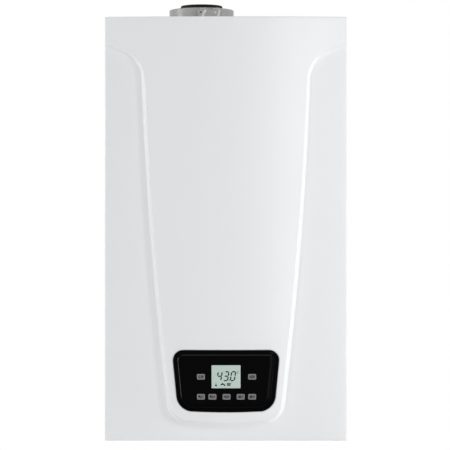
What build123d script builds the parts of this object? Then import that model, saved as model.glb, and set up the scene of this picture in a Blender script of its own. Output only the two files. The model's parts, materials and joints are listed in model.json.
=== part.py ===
from build123d import *
from math import asin, atan, atan2, cos, radians, sin, sqrt, tan
import os

# Wall-hung combi boiler, millimetres. X to the right, Y towards the wall, Z up.
# Origin: the middle of the wall bracket's fixing holes, on the wall plane.

# Casing
CASE_WIDTH = 400.0
CASE_HEIGHT = 700.0
CASE_TOP = 40.0                 # casing top above the fixing holes
CASE_DEPTH = 299.0              # wall to the fascia's face
CHASSIS_DEPTH = 240.0           # wall to the joint between chassis and front cover
SHEET = 1.0
CHASSIS_FLANGE = 10.0           # turned-in edges of the side panels
WALL_RECESS = 12.0              # wall to the back panel
CORNER_RADIUS = 2.0

# Front cover
FASCIA_PROUD = 2.0              # fascia face in front of the cover's crest
SHIELD_BOW = 11.0               # crest in front of the shield's side edges
SIDE_STEP = 2.0                 # shield's side edges in front of the flat field
STEP_LEAN = 29.0                # lean of the step round the shield, degrees
SHOULDER_X = 139.2              # upper end of the shield's long side
SHOULDER_DROP = 62.5            # below the casing top
SHOULDER_SLOPE = 11.5           # degrees, of the line out to the casing's side
SHOULDER_RADIUS = 50.0
SHIELD_SIDE_RADIUS = 6700.0
FOOT_X = 93.5
FOOT_RISE = 9.0                 # ends of the shield's foot above its middle
FOOT_GAP = 24.0                 # casing bottom to the shield's foot
FOOT_RADIUS = 34.0
COVER_GAP = 0.6                 # chassis to the cover's back edge
COVER_RETURN = 10.0
SEAL_THICK = 2.0
SEAL_WIDTH = 8.0
SCREW_R = 2.0
SCREW_HEAD_R = 3.8
SCREW_HEAD = 1.6
COVER_SCREW_X = 165.0
COVER_SCREW_LENGTH = 9.0

# Control box, its fascia and its keys
FASCIA_TOP_X = 88.1
FASCIA_FOOT_X = 78.6
FASCIA_RISE = 149.7             # casing bottom to the fascia's top
FASCIA_HEIGHT = 98.0
FASCIA_SAG = 3.0
FASCIA_TOP_RADIUS = 16.0
FASCIA_FOOT_RADIUS = 27.0
FASCIA_GAP = 0.8                # fascia to the cover's opening
FASCIA_BAND = 7.5               # width of the sloped border
FASCIA_THICK = 18.0             # fascia's face to the control box's front
FASCIA_WALL = 2.5
LIP_DEPTH = 5.5                 # rolled edge of the cover's opening
KEY_WIDTH = 13.3
KEY_HEIGHT = 9.5
KEY_RADIUS = 2.0
KEY_PROUD = 0.4
KEY_TRAVEL = 1.2
KEY_GAP = 0.35
KEY_RIM = 1.5                   # retaining rim round a key's back
KEY_RIM_THICK = 1.2
KEY_TOP_DROP = 42.9             # fascia's top to the upper keys
KEY_LOW_DROP = 75.8
KEY_FAR_X = 42.1
KEY_NEAR_X = 23.3
KEY_ASIDE = 0.9                  # the whole group of keys, right of the middle
DISPLAY_WIDTH = 47.8
DISPLAY_HEIGHT = 38.0
DISPLAY_THICK = 2.0
BOARD_THICK = 1.6
BOARD_DEPTH = 8.4               # fascia's face to the display board
BOARD_POST_R = 2.5
BOARD_POST_X = 65.0
BOX_HALF_WIDTH = 112.0
BOX_WALL = 2.5
BOX_DEPTH = 46.0
BOX_TOP_GAP = 13.0              # box above the fascia
BOX_FOOT_GAP = 16.0             # box below the fascia's foot
TILT_SET = 6.0                  # tilt axis behind the box's front
TILT_DROP = 8.0                 # tilt axis below the box
TILT_PIN_R = 2.5
PIN_GAP = 0.05
EAR_R = 6.0
EAR_THICK = 4.0
ARM_THICK = 2.5
SIDE_GAP = 1.0

# Wall bracket
BRACKET_WIDTH = 300.0
BRACKET_HEIGHT = 38.0
BRACKET_SHEET = 2.0
BRACKET_HOLE_R = 4.25
BRACKET_HOLE_SPACING = 240.0
HOOK_HEIGHT = 12.0

# Concentric flue outlet, 60 mm inside 100 mm
FLUE_X = -42.0
FLUE_Y = -125.0
FLUE_PIPE_R = 30.0
DUCT_R = 29.0                   # exhaust duct inside the boiler
AIR_PIPE_R = 50.0
SOCKET_GAP = 0.4
COLLAR_R = 55.5
COLLAR_HEIGHT = 26.5
COLLAR_FLOOR = 4.0
COLLAR_FLANGE = 63.0
COLLAR_SCREW_R = 58.8
FLUE_WALL = 3.0
INNER_SOCKET_TOP = 29.4         # above the casing top
INNER_SOCKET_FOOT = 25.0        # below the casing top
PIPE_STOP = 5.0                 # shoulder that the flue pipe stands on, below the casing top
SEAL_GAP = 0.2                  # seal's lip, pressed back, to the socket's bore
LIP_SEAL_R = 36.0
LIP_SEAL_HEIGHT = 4.5
TEST_BOSS_X0 = -48.0
TEST_BOSS_X1 = -6.0
TEST_BOSS_HEIGHT = 21.5
TEST_BOSS_REACH = 70.0
TEST_PLUG_R = 6.0
AIR_SLOTS = 8

# Heat exchanger, burner and fan
HX_DROP = 190.0                 # casing top to the drum's axis
HX_R = 98.0
HX_WALL = 8.0
VESSEL_GAP = 13.0               # vessel to the drum's back
STUB_REACH = 14.0               # stubs under the drum
COIL_OUTER_R = 82.0
COIL_TUBE_R = 6.5
COIL_TURNS = 8
DOOR_R = 90.0
DOOR_THICK = 10.0
CHANNEL_DEPTH = 27.0            # mixing channel in front of the door
NUT_CIRCLE_R = 82.0
NUT_AF = 10.0
STUD_R = 3.0
BURNER_R = 32.0
BURNER_GAP = 22.0               # burner's end to the drum's back wall
BURNER_WALL = 1.0
ELECTRODE_SIDE = 35.0           # electrode beside the drum's axis
ELECTRODE_R = 4.5
FAN_SIDE = 62.0                 # casing's side to the fan's axis
FAN_TO_DRUM = 148.0
FAN_DROP = 40.0                 # fan's axis below the drum's
FAN_R = 52.0
FAN_DEPTH = 38.0
FAN_WALL = 2.5
MOTOR_GAP = 10.0                # fan motor to the cover's field
FAN_SHAFT_R = 4.0
IMPELLER_R = 42.0
IMPELLER_BLADES = 16
MOTOR_R = 33.0
MOTOR_LENGTH = 22.0
DUCT_HEIGHT = 34.0
VENTURI_R = 26.0
VENTURI_THROAT_R = 14.0
INTAKE_R = 24.0
INTAKE_WALL = 2.0
INTAKE_GAP = 28.0               # vessel to the intake duct
INTAKE_BEND = 8.0               # venturi to the bend's start
INTAKE_DROP = 85.0              # casing top to the intake's straight end
GAS_VALVE_WIDTH = 64.0
GAS_VALVE_DEPTH = 60.0
GAS_VALVE_HEIGHT = 80.0
GAS_VALVE_DROP = 78.0           # fan's axis to the valve's top
GAS_VALVE_SET = 9.0             # valve's middle in front of the venturi's back
GAS_PIPE_RISE = 60.0            # gas pipe's level above the plate exchanger

# Water side
TAIL_MARGIN = 70.0              # casing's side to the outer tail
TAIL_Y = -105.0
TAIL_REACH = 16.0               # below the casing
TAIL_SOCKET = 22.0              # length inside a block
WIDE_TAIL_R = 11.0
NARROW_TAIL_R = 7.5
TAIL_SHOULDER = 6.0             # casing bottom to where a tail widens
TAIL_GROWTH = 1.5               # by how much it widens
TAIL_STOP = 4.0                 # closed-in top of a tail
PIPE_WALL = 1.0
BLOCK_DEPTH = 40.0
BLOCK_HEIGHT = 68.0
BLOCK_RISE = 32.0               # casing bottom to the blocks
BLOCK_SIDE = 20.0               # block past its tails
CONNECTING_PIPE_R = 9.0
VESSEL_WIDTH = 330.0
VESSEL_DEPTH = 58.0
VESSEL_WALL = 1.5
VESSEL_DROP = 85.0              # casing top to the vessel
VESSEL_RISE = 85.0              # blocks to the vessel
VESSEL_RADIUS = 60.0
VESSEL_EDGE = 14.0
VESSEL_HOSE_R = 6.0
VESSEL_HOSE_X = 60.0
PLATES = 12
PLATE_PITCH = 4.0
PLATE_GROOVE = 1.5
PLATE_LENGTH = 180.0
PLATE_HEIGHT = 74.0
PLATE_RISE = 48.0               # blocks to the plate exchanger's top
PUMP_SIDE = 18.0                # pump's axis inside the outer tail
PUMP_R = 42.0
PUMP_DEPTH = 45.0
PUMP_SETBACK = 15.0             # pump in front of its block
PUMP_NECK_WIDTH = 36.0
PUMP_STUB = 12.0
PUMP_SHAFT_LENGTH = 40.0
PUMP_MOTOR_R = 45.0
PUMP_MOTOR_LENGTH = 70.0
PUMP_IMPELLER_R = 30.0
PUMP_IMPELLER_DEPTH = 14.0
PUMP_VANES = 6
PUMP_SHAFT_R = 5.0
RUNNING_GAP = 2.0
STEM_SIDE = 3.0                 # stem inside the outer tail
STEM_RISE = 34.0                # stem above the block's foot
STEM_R = 3.0
STEM_DISC_R = 11.0
STEM_TRAVEL = 8.0
DIVERTER_MOTOR_SIZE = 44.0
DIVERTER_MOTOR_LENGTH = 52.0
SAFETY_RISE = 33.0
SAFETY_GAP = 6.0                # block to the safety valve
SAFETY_R = 13.0
SAFETY_KNOB_R = 15.0
SAFETY_KNOB_LENGTH = 20.0
TURBINE_R = 7.0
TURBINE_LENGTH = 10.0
TURBINE_BLADES = 4
TRAP_Y = -194.0
TRAP_R = 26.0
TRAP_GAP = 3.0                  # control box, and pump motor, to the trap
TRAP_HEIGHT = 100.0
TRAP_NECK = 10.0
CONDENSATE_R = 10.0
CONDENSATE_REACH = 7.0          # below the casing
CONDENSATE_HOSE_R = 9.0

# Worked out from the sizes above
HALF = CASE_WIDTH / 2
CASE_BOTTOM = CASE_TOP - CASE_HEIGHT
CASE_MID_Z = (CASE_TOP + CASE_BOTTOM) / 2
FACE_Y = -CASE_DEPTH
CREST_Y = FACE_Y + FASCIA_PROUD
FIELD_Y = CREST_Y + SHIELD_BOW + SIDE_STEP
COVER_BACK_Y = -CHASSIS_DEPTH - COVER_GAP
BACK_Y = -WALL_RECESS - SHEET
FASCIA_TOP_Z = CASE_BOTTOM + FASCIA_RISE
KEY_TOP_Z = FASCIA_TOP_Z - KEY_TOP_DROP
KEY_LOW_Z = FASCIA_TOP_Z - KEY_LOW_DROP
BOX_FRONT_Y = FACE_Y + FASCIA_THICK
BOX_BACK_Y = BOX_FRONT_Y + BOX_DEPTH
BOX_TOP_Z = FASCIA_TOP_Z + BOX_TOP_GAP
BOX_FOOT_Z = FASCIA_TOP_Z - FASCIA_HEIGHT - FASCIA_SAG - BOX_FOOT_GAP
TILT_Y = BOX_FRONT_Y + TILT_SET
TILT_Z = BOX_FOOT_Z - TILT_DROP
VESSEL_Y = BACK_Y - SHEET - VESSEL_DEPTH / 2
VESSEL_FRONT_Y = VESSEL_Y - VESSEL_DEPTH / 2
VESSEL_TOP_Z = CASE_TOP - VESSEL_DROP
FAN_X = FAN_SIDE - HALF
HX_X = FAN_X + FAN_TO_DRUM
HX_Z = CASE_TOP - HX_DROP
FAN_Z = HX_Z - FAN_DROP
FAN_FRONT_Y = FIELD_Y + MOTOR_LENGTH + MOTOR_GAP
DOOR_FRONT_Y = FAN_FRONT_Y + CHANNEL_DEPTH
HX_FRONT_Y = DOOR_FRONT_Y + DOOR_THICK
HX_BACK_Y = VESSEL_FRONT_Y - VESSEL_GAP
HX_LENGTH = HX_BACK_Y - HX_FRONT_Y
ELECTRODE_X = HX_X + ELECTRODE_SIDE
FAN_BACK_Y = FAN_FRONT_Y + FAN_DEPTH
DUCT_TOP_Z = FAN_Z + FAN_R
INTAKE_Y = VESSEL_FRONT_Y - INTAKE_GAP - INTAKE_R
INTAKE_TOP_Z = CASE_TOP - INTAKE_DROP
VENTURI_BACK_Y = INTAKE_Y - INTAKE_R - INTAKE_BEND
GAS_VALVE_TOP_Z = FAN_Z - GAS_VALVE_DROP
GAS_VALVE_Y = VENTURI_BACK_Y - GAS_VALVE_SET
TAIL_SPACING = (HALF - TAIL_MARGIN) / 2
BLOCK_FOOT_Z = CASE_BOTTOM + BLOCK_RISE
BLOCK_FRONT_Y = TAIL_Y - BLOCK_DEPTH / 2
BLOCK_TOP_Z = BLOCK_FOOT_Z + BLOCK_HEIGHT
VESSEL_FOOT_Z = BLOCK_TOP_Z + VESSEL_RISE
VESSEL_HEIGHT = VESSEL_TOP_Z - VESSEL_FOOT_Z
BLOCK_INNER_X = TAIL_SPACING - BLOCK_SIDE
BLOCK_OUTER_X = 2 * TAIL_SPACING + BLOCK_SIDE
PLATE_DEPTH = PLATES * PLATE_PITCH
PLATE_TOP_Z = BLOCK_TOP_Z + PLATE_RISE
PLATE_FOOT_Z = PLATE_TOP_Z - PLATE_HEIGHT
PUMP_X = 2 * TAIL_SPACING - PUMP_SIDE
PUMP_Z = BOX_TOP_Z + PUMP_MOTOR_R + SIDE_GAP
PUMP_FRONT_Y = BLOCK_FRONT_Y - PUMP_SETBACK
PUMP_BACK_Y = PUMP_FRONT_Y + PUMP_DEPTH
STEM_X = STEM_SIDE - 2 * TAIL_SPACING
STEM_Z = BLOCK_FOOT_Z + STEM_RISE
SAFETY_X = BLOCK_OUTER_X + SAFETY_R + SAFETY_GAP
SAFETY_Z = BLOCK_FOOT_Z + SAFETY_RISE
TURBINE_X = TAIL_SPACING
TRAP_X = PUMP_X - PUMP_MOTOR_R - TRAP_R - TRAP_GAP
TRAP_TOP_Z = BOX_TOP_Z + TRAP_GAP + TRAP_HEIGHT
COLLAR_TOP_Z = CASE_TOP + COLLAR_HEIGHT


def block(x0, x1, y0, y1, z0, z1):
    """A box given by its faces."""
    box = Box(abs(x1 - x0), abs(y1 - y0), abs(z1 - z0))
    return Pos((x0 + x1) / 2, (y0 + y1) / 2, (z0 + z1) / 2) * box


def rod_x(radius, x0, x1, y, z):
    """A round bar along X."""
    bar = Rot(0, 90, 0) * Cylinder(radius, abs(x1 - x0))
    return Pos((x0 + x1) / 2, y, z) * bar


def rod_y(radius, x, y0, y1, z):
    """A round bar along Y."""
    bar = Rot(90, 0, 0) * Cylinder(radius, abs(y1 - y0))
    return Pos(x, (y0 + y1) / 2, z) * bar


def rod_z(radius, x, y, z0, z1):
    """A round bar along Z."""
    return Pos(x, y, (z0 + z1) / 2) * Cylinder(radius, abs(z1 - z0))


def front_plane(y):
    """A plane parallel to the wall, seen from the front: its X is X, its Y is Z."""
    return Plane(origin=(0, y, 0), x_dir=(1, 0, 0), z_dir=(0, -1, 0))


def slab(outline, y0, y1):
    """An outline in X and Z given a thickness from y0 forward to y1."""
    return extrude(front_plane(y0) * outline, amount=y0 - y1)


def pipe(points, radii, outer, wall):
    """A tube along straight runs joined by tangent arcs."""
    path = FilletPolyline(*points, radius=radii)
    plane = Plane(origin=path @ 0, z_dir=path % 0)
    return sweep(plane * (Circle(outer) - Circle(outer - wall)), path=path)


def screw(x, y, z, length, up):
    """A pan-head screw on Z, its head standing on the height z; up is 1 or -1."""
    head = rod_z(SCREW_HEAD_R, x, y, z, z + up * SCREW_HEAD)
    return head + rod_z(SCREW_R, x, y, z - up * length, z)


# ---------------------------------------------------------------- front cover

def inset_corner(x, z, before, after, inset):
    """A corner moved inwards by a distance from both its edges, whose directions are given."""
    scale = inset / (1 + cos(after - before))
    return x - scale * (sin(before) + sin(after)), z + scale * (cos(before) + cos(after))


def shield_outline(inset):
    """The raised field's edge, taken in by a distance: foot, two bowed sides, two shoulders."""
    foot_z = CASE_BOTTOM + FOOT_GAP
    shoulder_z = CASE_TOP - SHOULDER_DROP
    rise = shoulder_z - foot_z - FOOT_RISE
    side_length = sqrt((SHOULDER_X - FOOT_X) ** 2 + rise ** 2)
    side_angle = atan2(rise, SHOULDER_X - FOOT_X)
    side_turn = asin(side_length / 2 / SHIELD_SIDE_RADIUS)
    foot_angle = 2 * atan(FOOT_RISE / FOOT_X)
    slope = radians(SHOULDER_SLOPE)
    foot_x, corner_z = inset_corner(FOOT_X, foot_z + FOOT_RISE, foot_angle,
                                    side_angle - side_turn, inset)
    shoulder = inset_corner(SHOULDER_X, shoulder_z, side_angle + side_turn, slope, inset)
    far_x = HALF + SHOULDER_DROP
    far_z = shoulder[1] + (far_x - shoulder[0]) * tan(slope)
    top_z = CASE_TOP + SHOULDER_DROP
    foot = ThreePointArc((-foot_x, corner_z), (0, foot_z + inset), (foot_x, corner_z))
    side = RadiusArc((foot_x, corner_z), shoulder, -SHIELD_SIDE_RADIUS)
    rim = Polyline(shoulder, (far_x, far_z), (far_x, top_z), (-far_x, top_z),
                   (-far_x, far_z), (-shoulder[0], shoulder[1]))
    other_side = mirror(side, about=Plane.YZ)
    outline = make_face([*foot.edges(), *side.edges(), *rim.edges(), *other_side.edges()])
    feet = [v for v in outline.vertices() if v.Y < corner_z + 1]
    outline = fillet(feet, FOOT_RADIUS - inset)
    shoulders = [v for v in outline.vertices()
                 if abs(abs(v.X) - shoulder[0]) < 1 and abs(v.Y - shoulder[1]) < 1]
    return fillet(shoulders, SHOULDER_RADIUS + inset)


def cover_form(wall):
    """The pan with its raised shield, taken in by a wall: 0 gives the outside."""
    half = HALF - wall
    top = CASE_TOP - wall
    bottom = CASE_BOTTOM + wall
    back = COVER_BACK_Y + wall
    lean = radians(STEP_LEAN)
    base = FIELD_Y + wall
    pan_outline = Pos(0, CASE_MID_Z) * RectangleRounded(2 * half, top - bottom, CORNER_RADIUS)
    pan = slab(pan_outline, back, base)
    inset = wall * (1 / cos(lean) - tan(lean))
    back_edge = shield_outline(inset - SIDE_STEP * tan(lean))
    front_edge = shield_outline(inset + (base - FACE_Y) * tan(lean))
    raised = loft([(front_plane(base + SIDE_STEP) * back_edge).face(),
                   (front_plane(FACE_Y) * front_edge).face()], ruled=True)
    bow_radius = (HALF ** 2 + SHIELD_BOW ** 2) / (2 * SHIELD_BOW)
    bow = Pos(0, CREST_Y + wall + bow_radius, CASE_MID_Z) * Cylinder(bow_radius, CASE_HEIGHT)
    room = slab(pan_outline, back, FACE_Y)
    return pan + (raised & bow & room)


def fascia_outline(grow):
    """The fascia's edge, a tapering panel with round corners, grown by a distance."""
    foot_z = FASCIA_TOP_Z - FASCIA_HEIGHT
    rim = Polyline((FASCIA_FOOT_X, foot_z), (FASCIA_TOP_X, FASCIA_TOP_Z),
                   (-FASCIA_TOP_X, FASCIA_TOP_Z), (-FASCIA_FOOT_X, foot_z))
    foot = ThreePointArc((-FASCIA_FOOT_X, foot_z), (0, foot_z - FASCIA_SAG),
                         (FASCIA_FOOT_X, foot_z))
    outline = make_face([*rim.edges(), *foot.edges()])
    top = [v for v in outline.vertices() if v.Y > FASCIA_TOP_Z - 1]
    outline = fillet(top, FASCIA_TOP_RADIUS)
    low = [v for v in outline.vertices() if v.Y < foot_z + 1]
    outline = fillet(low, FASCIA_FOOT_RADIUS)
    return offset(outline, amount=grow) if grow else outline


def cover_return():
    """The cover's turned-in back edge."""
    outer = Pos(0, CASE_MID_Z) * Rectangle(CASE_WIDTH - SHEET, CASE_HEIGHT - SHEET)
    hole = Pos(0, CASE_MID_Z) * Rectangle(CASE_WIDTH - 2 * COVER_RETURN,
                                          CASE_HEIGHT - 2 * COVER_RETURN)
    front = COVER_BACK_Y - SEAL_THICK
    return slab(outer - hole, front, front - SHEET)


def front_cover():
    outside = cover_form(0)
    shell = outside - cover_form(SHEET)
    opening = fascia_outline(FASCIA_GAP)
    lip_ring = fascia_outline(FASCIA_GAP + SHEET) - opening
    lip = slab(lip_ring, CREST_Y + LIP_DEPTH, FACE_Y) & outside
    cover = shell + lip + cover_return() - slab(opening, COVER_BACK_Y, FACE_Y)
    for x in (-COVER_SCREW_X, COVER_SCREW_X):
        cover -= rod_z(SCREW_R + PIN_GAP, x, cover_screw_y(), CASE_BOTTOM - 1, CASE_BOTTOM + 5)
    return cover


def cover_screw_y():
    """The cover's screws stand midway along its bottom wall."""
    return (COVER_BACK_Y - SEAL_THICK - SHEET + FIELD_Y) / 2


def front_cover_seal():
    """A flat rubber strip on the turned-in edge, facing the chassis."""
    half = HALF - SHEET - 0.5
    outer = Pos(0, CASE_MID_Z) * RectangleRounded(2 * half, CASE_HEIGHT - 2 * (HALF - half),
                                                  CORNER_RADIUS)
    hole = Pos(0, CASE_MID_Z) * Rectangle(2 * (half - SEAL_WIDTH),
                                          CASE_HEIGHT - 2 * (HALF - half + SEAL_WIDTH))
    return slab(outer - hole, COVER_BACK_Y + COVER_GAP / 2, COVER_BACK_Y - SEAL_THICK)


def cover_screws():
    """Two captive screws under the cover, which slide out of the tray's open slots."""
    y = cover_screw_y()
    screws = [screw(x, y, CASE_BOTTOM, COVER_SCREW_LENGTH, -1)
              for x in (-COVER_SCREW_X, COVER_SCREW_X)]
    return Compound(children=screws)


# ------------------------------------------------------------------- chassis

def wall_bracket():
    """A hanging rail: a wall plate, a shelf and an upturned lip."""
    plate_foot = -BRACKET_HEIGHT / 2
    plate_top = BRACKET_HEIGHT / 2 - BRACKET_SHEET
    half = BRACKET_WIDTH / 2
    lip_y = -WALL_RECESS + BRACKET_SHEET
    rail = block(-half, half, -BRACKET_SHEET, 0, plate_foot, plate_top)
    rail += block(-half, half, lip_y, 0, plate_top - BRACKET_SHEET, plate_top)
    rail += block(-half, half, lip_y, lip_y + BRACKET_SHEET, plate_top, plate_top + HOOK_HEIGHT)
    for x in (-BRACKET_HOLE_SPACING / 2, BRACKET_HOLE_SPACING / 2):
        rail -= rod_y(BRACKET_HOLE_R, x, -WALL_RECESS, 1, 0)
    return rail


def back_panel():
    """The back sheet with turned-forward sides and the hook that hangs on the bracket."""
    half = HALF - SHEET
    top = CASE_TOP - SHEET
    bottom = CASE_BOTTOM + SHEET
    panel = block(-half, half, BACK_Y, BACK_Y + SHEET, bottom, top)
    for side in (-1, 1):
        panel += block(side * half, side * (half - SHEET), BACK_Y - CHASSIS_FLANGE, BACK_Y,
                       bottom, top)
    hook_z = BRACKET_HEIGHT / 2 - BRACKET_SHEET + HOOK_HEIGHT
    hook_half = BRACKET_WIDTH / 2
    hook_y = -WALL_RECESS + 3 * BRACKET_SHEET
    panel += block(-hook_half, hook_half, -WALL_RECESS, hook_y, hook_z, hook_z + BRACKET_SHEET)
    panel += block(-hook_half, hook_half, hook_y - BRACKET_SHEET / 2, hook_y,
                   hook_z - HOOK_HEIGHT / 2, hook_z)
    return panel


def side_panel(side):
    """A side sheet with turned-in edges at the wall and at the front joint."""
    panel = block(side * HALF, side * (HALF - SHEET), -CHASSIS_DEPTH, 0, CASE_BOTTOM, CASE_TOP)
    inner = HALF - CHASSIS_FLANGE
    panel += block(side * HALF, side * inner, -SHEET, 0, CASE_BOTTOM, CASE_TOP)
    panel += block(side * HALF, side * inner, -CHASSIS_DEPTH, -CHASSIS_DEPTH + SHEET,
                   CASE_BOTTOM, CASE_TOP)
    return panel


def top_panel():
    """The top sheet, with a turned-down front edge and the hole for the flue collar."""
    half = HALF - SHEET
    back = -WALL_RECESS
    front = -CHASSIS_DEPTH + SHEET
    panel = block(-half, half, front, back, CASE_TOP - SHEET, CASE_TOP)
    inner = HALF - CHASSIS_FLANGE
    panel += block(-inner, inner, front - SHEET, front, CASE_TOP - CHASSIS_FLANGE, CASE_TOP)
    panel -= rod_z(AIR_PIPE_R - COLLAR_FLOOR, FLUE_X, FLUE_Y, CASE_TOP - 5, CASE_TOP + 5)
    for x, y in top_screw_places():
        panel -= rod_z(SCREW_R, x, y, CASE_TOP - 5, CASE_TOP + 5)
    for x, y in collar_screw_places():
        panel -= rod_z(SCREW_R, x, y, CASE_TOP - 5, CASE_TOP + 5)
    return panel


def bottom_tray():
    """The bottom sheet with its pipe holes, the cover's screw tabs and the box's arms."""
    half = HALF - SHEET
    front = -CHASSIS_DEPTH
    tray_top = CASE_BOTTOM + SHEET
    tray = block(-half, half, front + SHEET, -WALL_RECESS - SHEET, CASE_BOTTOM, tray_top)
    inner = HALF - CHASSIS_FLANGE
    tray += block(-inner, inner, front, front + SHEET, CASE_BOTTOM, TILT_Z + EAR_R)
    for x, radius in tail_places():
        tray -= rod_z(radius + SIDE_GAP, x, TAIL_Y, CASE_BOTTOM - 5, CASE_BOTTOM + 5)
    tray -= rod_z(CONDENSATE_R + SIDE_GAP, TRAP_X, TRAP_Y, CASE_BOTTOM - 5, CASE_BOTTOM + 5)
    tray -= rod_z(NARROW_TAIL_R + SIDE_GAP, SAFETY_X, TAIL_Y, CASE_BOTTOM - 5, CASE_BOTTOM + 5)
    tab_z = CASE_BOTTOM + COVER_RETURN + SIDE_GAP
    screw_y = cover_screw_y()
    for x in (-COVER_SCREW_X, COVER_SCREW_X):
        tab = block(x - 12, x + 12, screw_y - SCREW_R - 1.5, front, tab_z, tab_z + ARM_THICK)
        slot = block(x - SCREW_R - 0.5, x + SCREW_R + 0.5, screw_y - 9, screw_y + 3,
                     tab_z - 1, tab_z + ARM_THICK + 1)
        tray += tab - slot
    for side in (-1, 1):
        tray += tilt_arm(side)
    return tray


def tilt_arm(side):
    """An arm from the tray's front edge, with the pin that the control box tilts on."""
    inside = side * (BOX_HALF_WIDTH + SIDE_GAP)
    outside = inside + side * ARM_THICK
    arm = block(inside, outside, TILT_Y, -CHASSIS_DEPTH, TILT_Z - EAR_R, TILT_Z + EAR_R)
    arm += rod_x(EAR_R, inside, outside, TILT_Y, TILT_Z)
    pin_end = side * (BOX_HALF_WIDTH - EAR_THICK)
    return arm + rod_x(TILT_PIN_R, pin_end, outside, TILT_Y, TILT_Z)


def top_screw_places():
    """Screws along both sides of the top sheet."""
    ys = [-WALL_RECESS - 25, -CHASSIS_DEPTH / 2, -CHASSIS_DEPTH + 25]
    return [(side * (HALF - CHASSIS_FLANGE), y) for side in (-1, 1) for y in ys]


def collar_screw_places():
    """Four screws through the corners of the collar's flange."""
    reach = COLLAR_SCREW_R / sqrt(2) + 12
    return [(FLUE_X + i * reach, FLUE_Y + j * reach) for i in (-1, 1) for j in (-1, 1)]


def casing_screws():
    """The same pan-head screw holds the top sheet and the flue collar."""
    screws = [screw(x, y, CASE_TOP, 6, 1) for x, y in top_screw_places()]
    screws += [screw(x, y, CASE_TOP + COLLAR_FLOOR, 9, 1) for x, y in collar_screw_places()]
    return Compound(children=screws)


# --------------------------------------------------------------------- flue

def flue_collar():
    """The outer socket on its flange, with air slots in its floor and a test-point boss."""
    floor_z = CASE_TOP + COLLAR_FLOOR
    flange = Pos(FLUE_X, FLUE_Y, CASE_TOP + COLLAR_FLOOR / 2) * extrude(
        RectangleRounded(2 * COLLAR_FLANGE, 2 * COLLAR_FLANGE, 10), amount=COLLAR_FLOOR / 2,
        both=True)
    wall = rod_z(COLLAR_R, FLUE_X, FLUE_Y, CASE_TOP, COLLAR_TOP_Z)
    boss = block(TEST_BOSS_X0, TEST_BOSS_X1, FLUE_Y - TEST_BOSS_REACH, FLUE_Y - AIR_PIPE_R - 2,
                 CASE_TOP, CASE_TOP + TEST_BOSS_HEIGHT)
    collar = flange + fillet(wall.faces().sort_by(Axis.Z)[-1].edges(), 2.0) + boss
    collar -= rod_z(AIR_PIPE_R + SOCKET_GAP, FLUE_X, FLUE_Y, floor_z, COLLAR_TOP_Z + 1)
    collar -= rod_z(FLUE_PIPE_R + SOCKET_GAP + FLUE_WALL, FLUE_X, FLUE_Y, CASE_TOP - 1, floor_z + 1)
    for x in test_plug_xs():
        collar -= rod_z(TEST_PLUG_R - 2, x, test_plug_y(), CASE_TOP + COLLAR_FLOOR,
                        CASE_TOP + TEST_BOSS_HEIGHT + 1)
    slot_r = (FLUE_PIPE_R + FLUE_WALL + AIR_PIPE_R) / 2 - 1
    for i in range(AIR_SLOTS):
        angle = radians((i + 0.5) * 360 / AIR_SLOTS)
        x = FLUE_X + slot_r * cos(angle)
        y = FLUE_Y + slot_r * sin(angle)
        collar -= rod_z(4.5, x, y, CASE_TOP - 1, floor_z + 1)
    for x, y in collar_screw_places():
        collar -= rod_z(SCREW_R, x, y, CASE_TOP - 1, floor_z + 1)
    groove_z = COLLAR_TOP_Z - 8
    groove = rod_z(AIR_PIPE_R + SOCKET_GAP + 2, FLUE_X, FLUE_Y, groove_z - 4, groove_z)
    return collar - groove


def test_plug_xs():
    """The two test points stand at quarter marks along the boss."""
    span = TEST_BOSS_X1 - TEST_BOSS_X0
    return TEST_BOSS_X0 + span * 0.25, TEST_BOSS_X0 + span * 0.75


def test_plug_y():
    return FLUE_Y - TEST_BOSS_REACH + TEST_PLUG_R + 1


def sampling_plugs():
    """Two push-in caps on the test points."""
    top = CASE_TOP + TEST_BOSS_HEIGHT
    caps = []
    for x in test_plug_xs():
        cap = rod_z(TEST_PLUG_R, x, test_plug_y(), top, top + 3)
        caps.append(cap + rod_z(TEST_PLUG_R - 2, x, test_plug_y(), top - 8, top))
    return Compound(children=caps)


def flue_outer_seal():
    """A ring seal in the collar's groove, its lip pressed back as by the pipe."""
    groove_z = COLLAR_TOP_Z - 8
    bore = AIR_PIPE_R + SOCKET_GAP
    outer = rod_z(bore + 2, FLUE_X, FLUE_Y, groove_z - 4, groove_z)
    return outer - rod_z(bore + SEAL_GAP, FLUE_X, FLUE_Y, groove_z - 5, groove_z + 1)


def flue_inner_socket():
    """A sleeve through the collar's floor, with a stop between flue pipe and exhaust duct."""
    top = CASE_TOP + INNER_SOCKET_TOP
    foot = CASE_TOP - INNER_SOCKET_FOOT
    bore = FLUE_PIPE_R + SOCKET_GAP
    sleeve = rod_z(bore + FLUE_WALL, FLUE_X, FLUE_Y, foot, top)
    sleeve -= rod_z(bore, FLUE_X, FLUE_Y, CASE_TOP - PIPE_STOP, top + 1)
    return sleeve - rod_z(DUCT_R, FLUE_X, FLUE_Y, foot - 1, top)


def flue_inner_seal():
    """The black lip seal that caps the inner sleeve."""
    top = CASE_TOP + INNER_SOCKET_TOP
    cap = rod_z(LIP_SEAL_R, FLUE_X, FLUE_Y, top - 5, top + LIP_SEAL_HEIGHT)
    cap = fillet(cap.edges().sort_by(Axis.Z)[-1], 2.0)
    bore = FLUE_PIPE_R + SOCKET_GAP
    cap -= rod_z(bore + FLUE_WALL, FLUE_X, FLUE_Y, top - 6, top)
    return cap - rod_z(bore + SEAL_GAP, FLUE_X, FLUE_Y, top - 6, top + LIP_SEAL_HEIGHT + 1)


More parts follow.
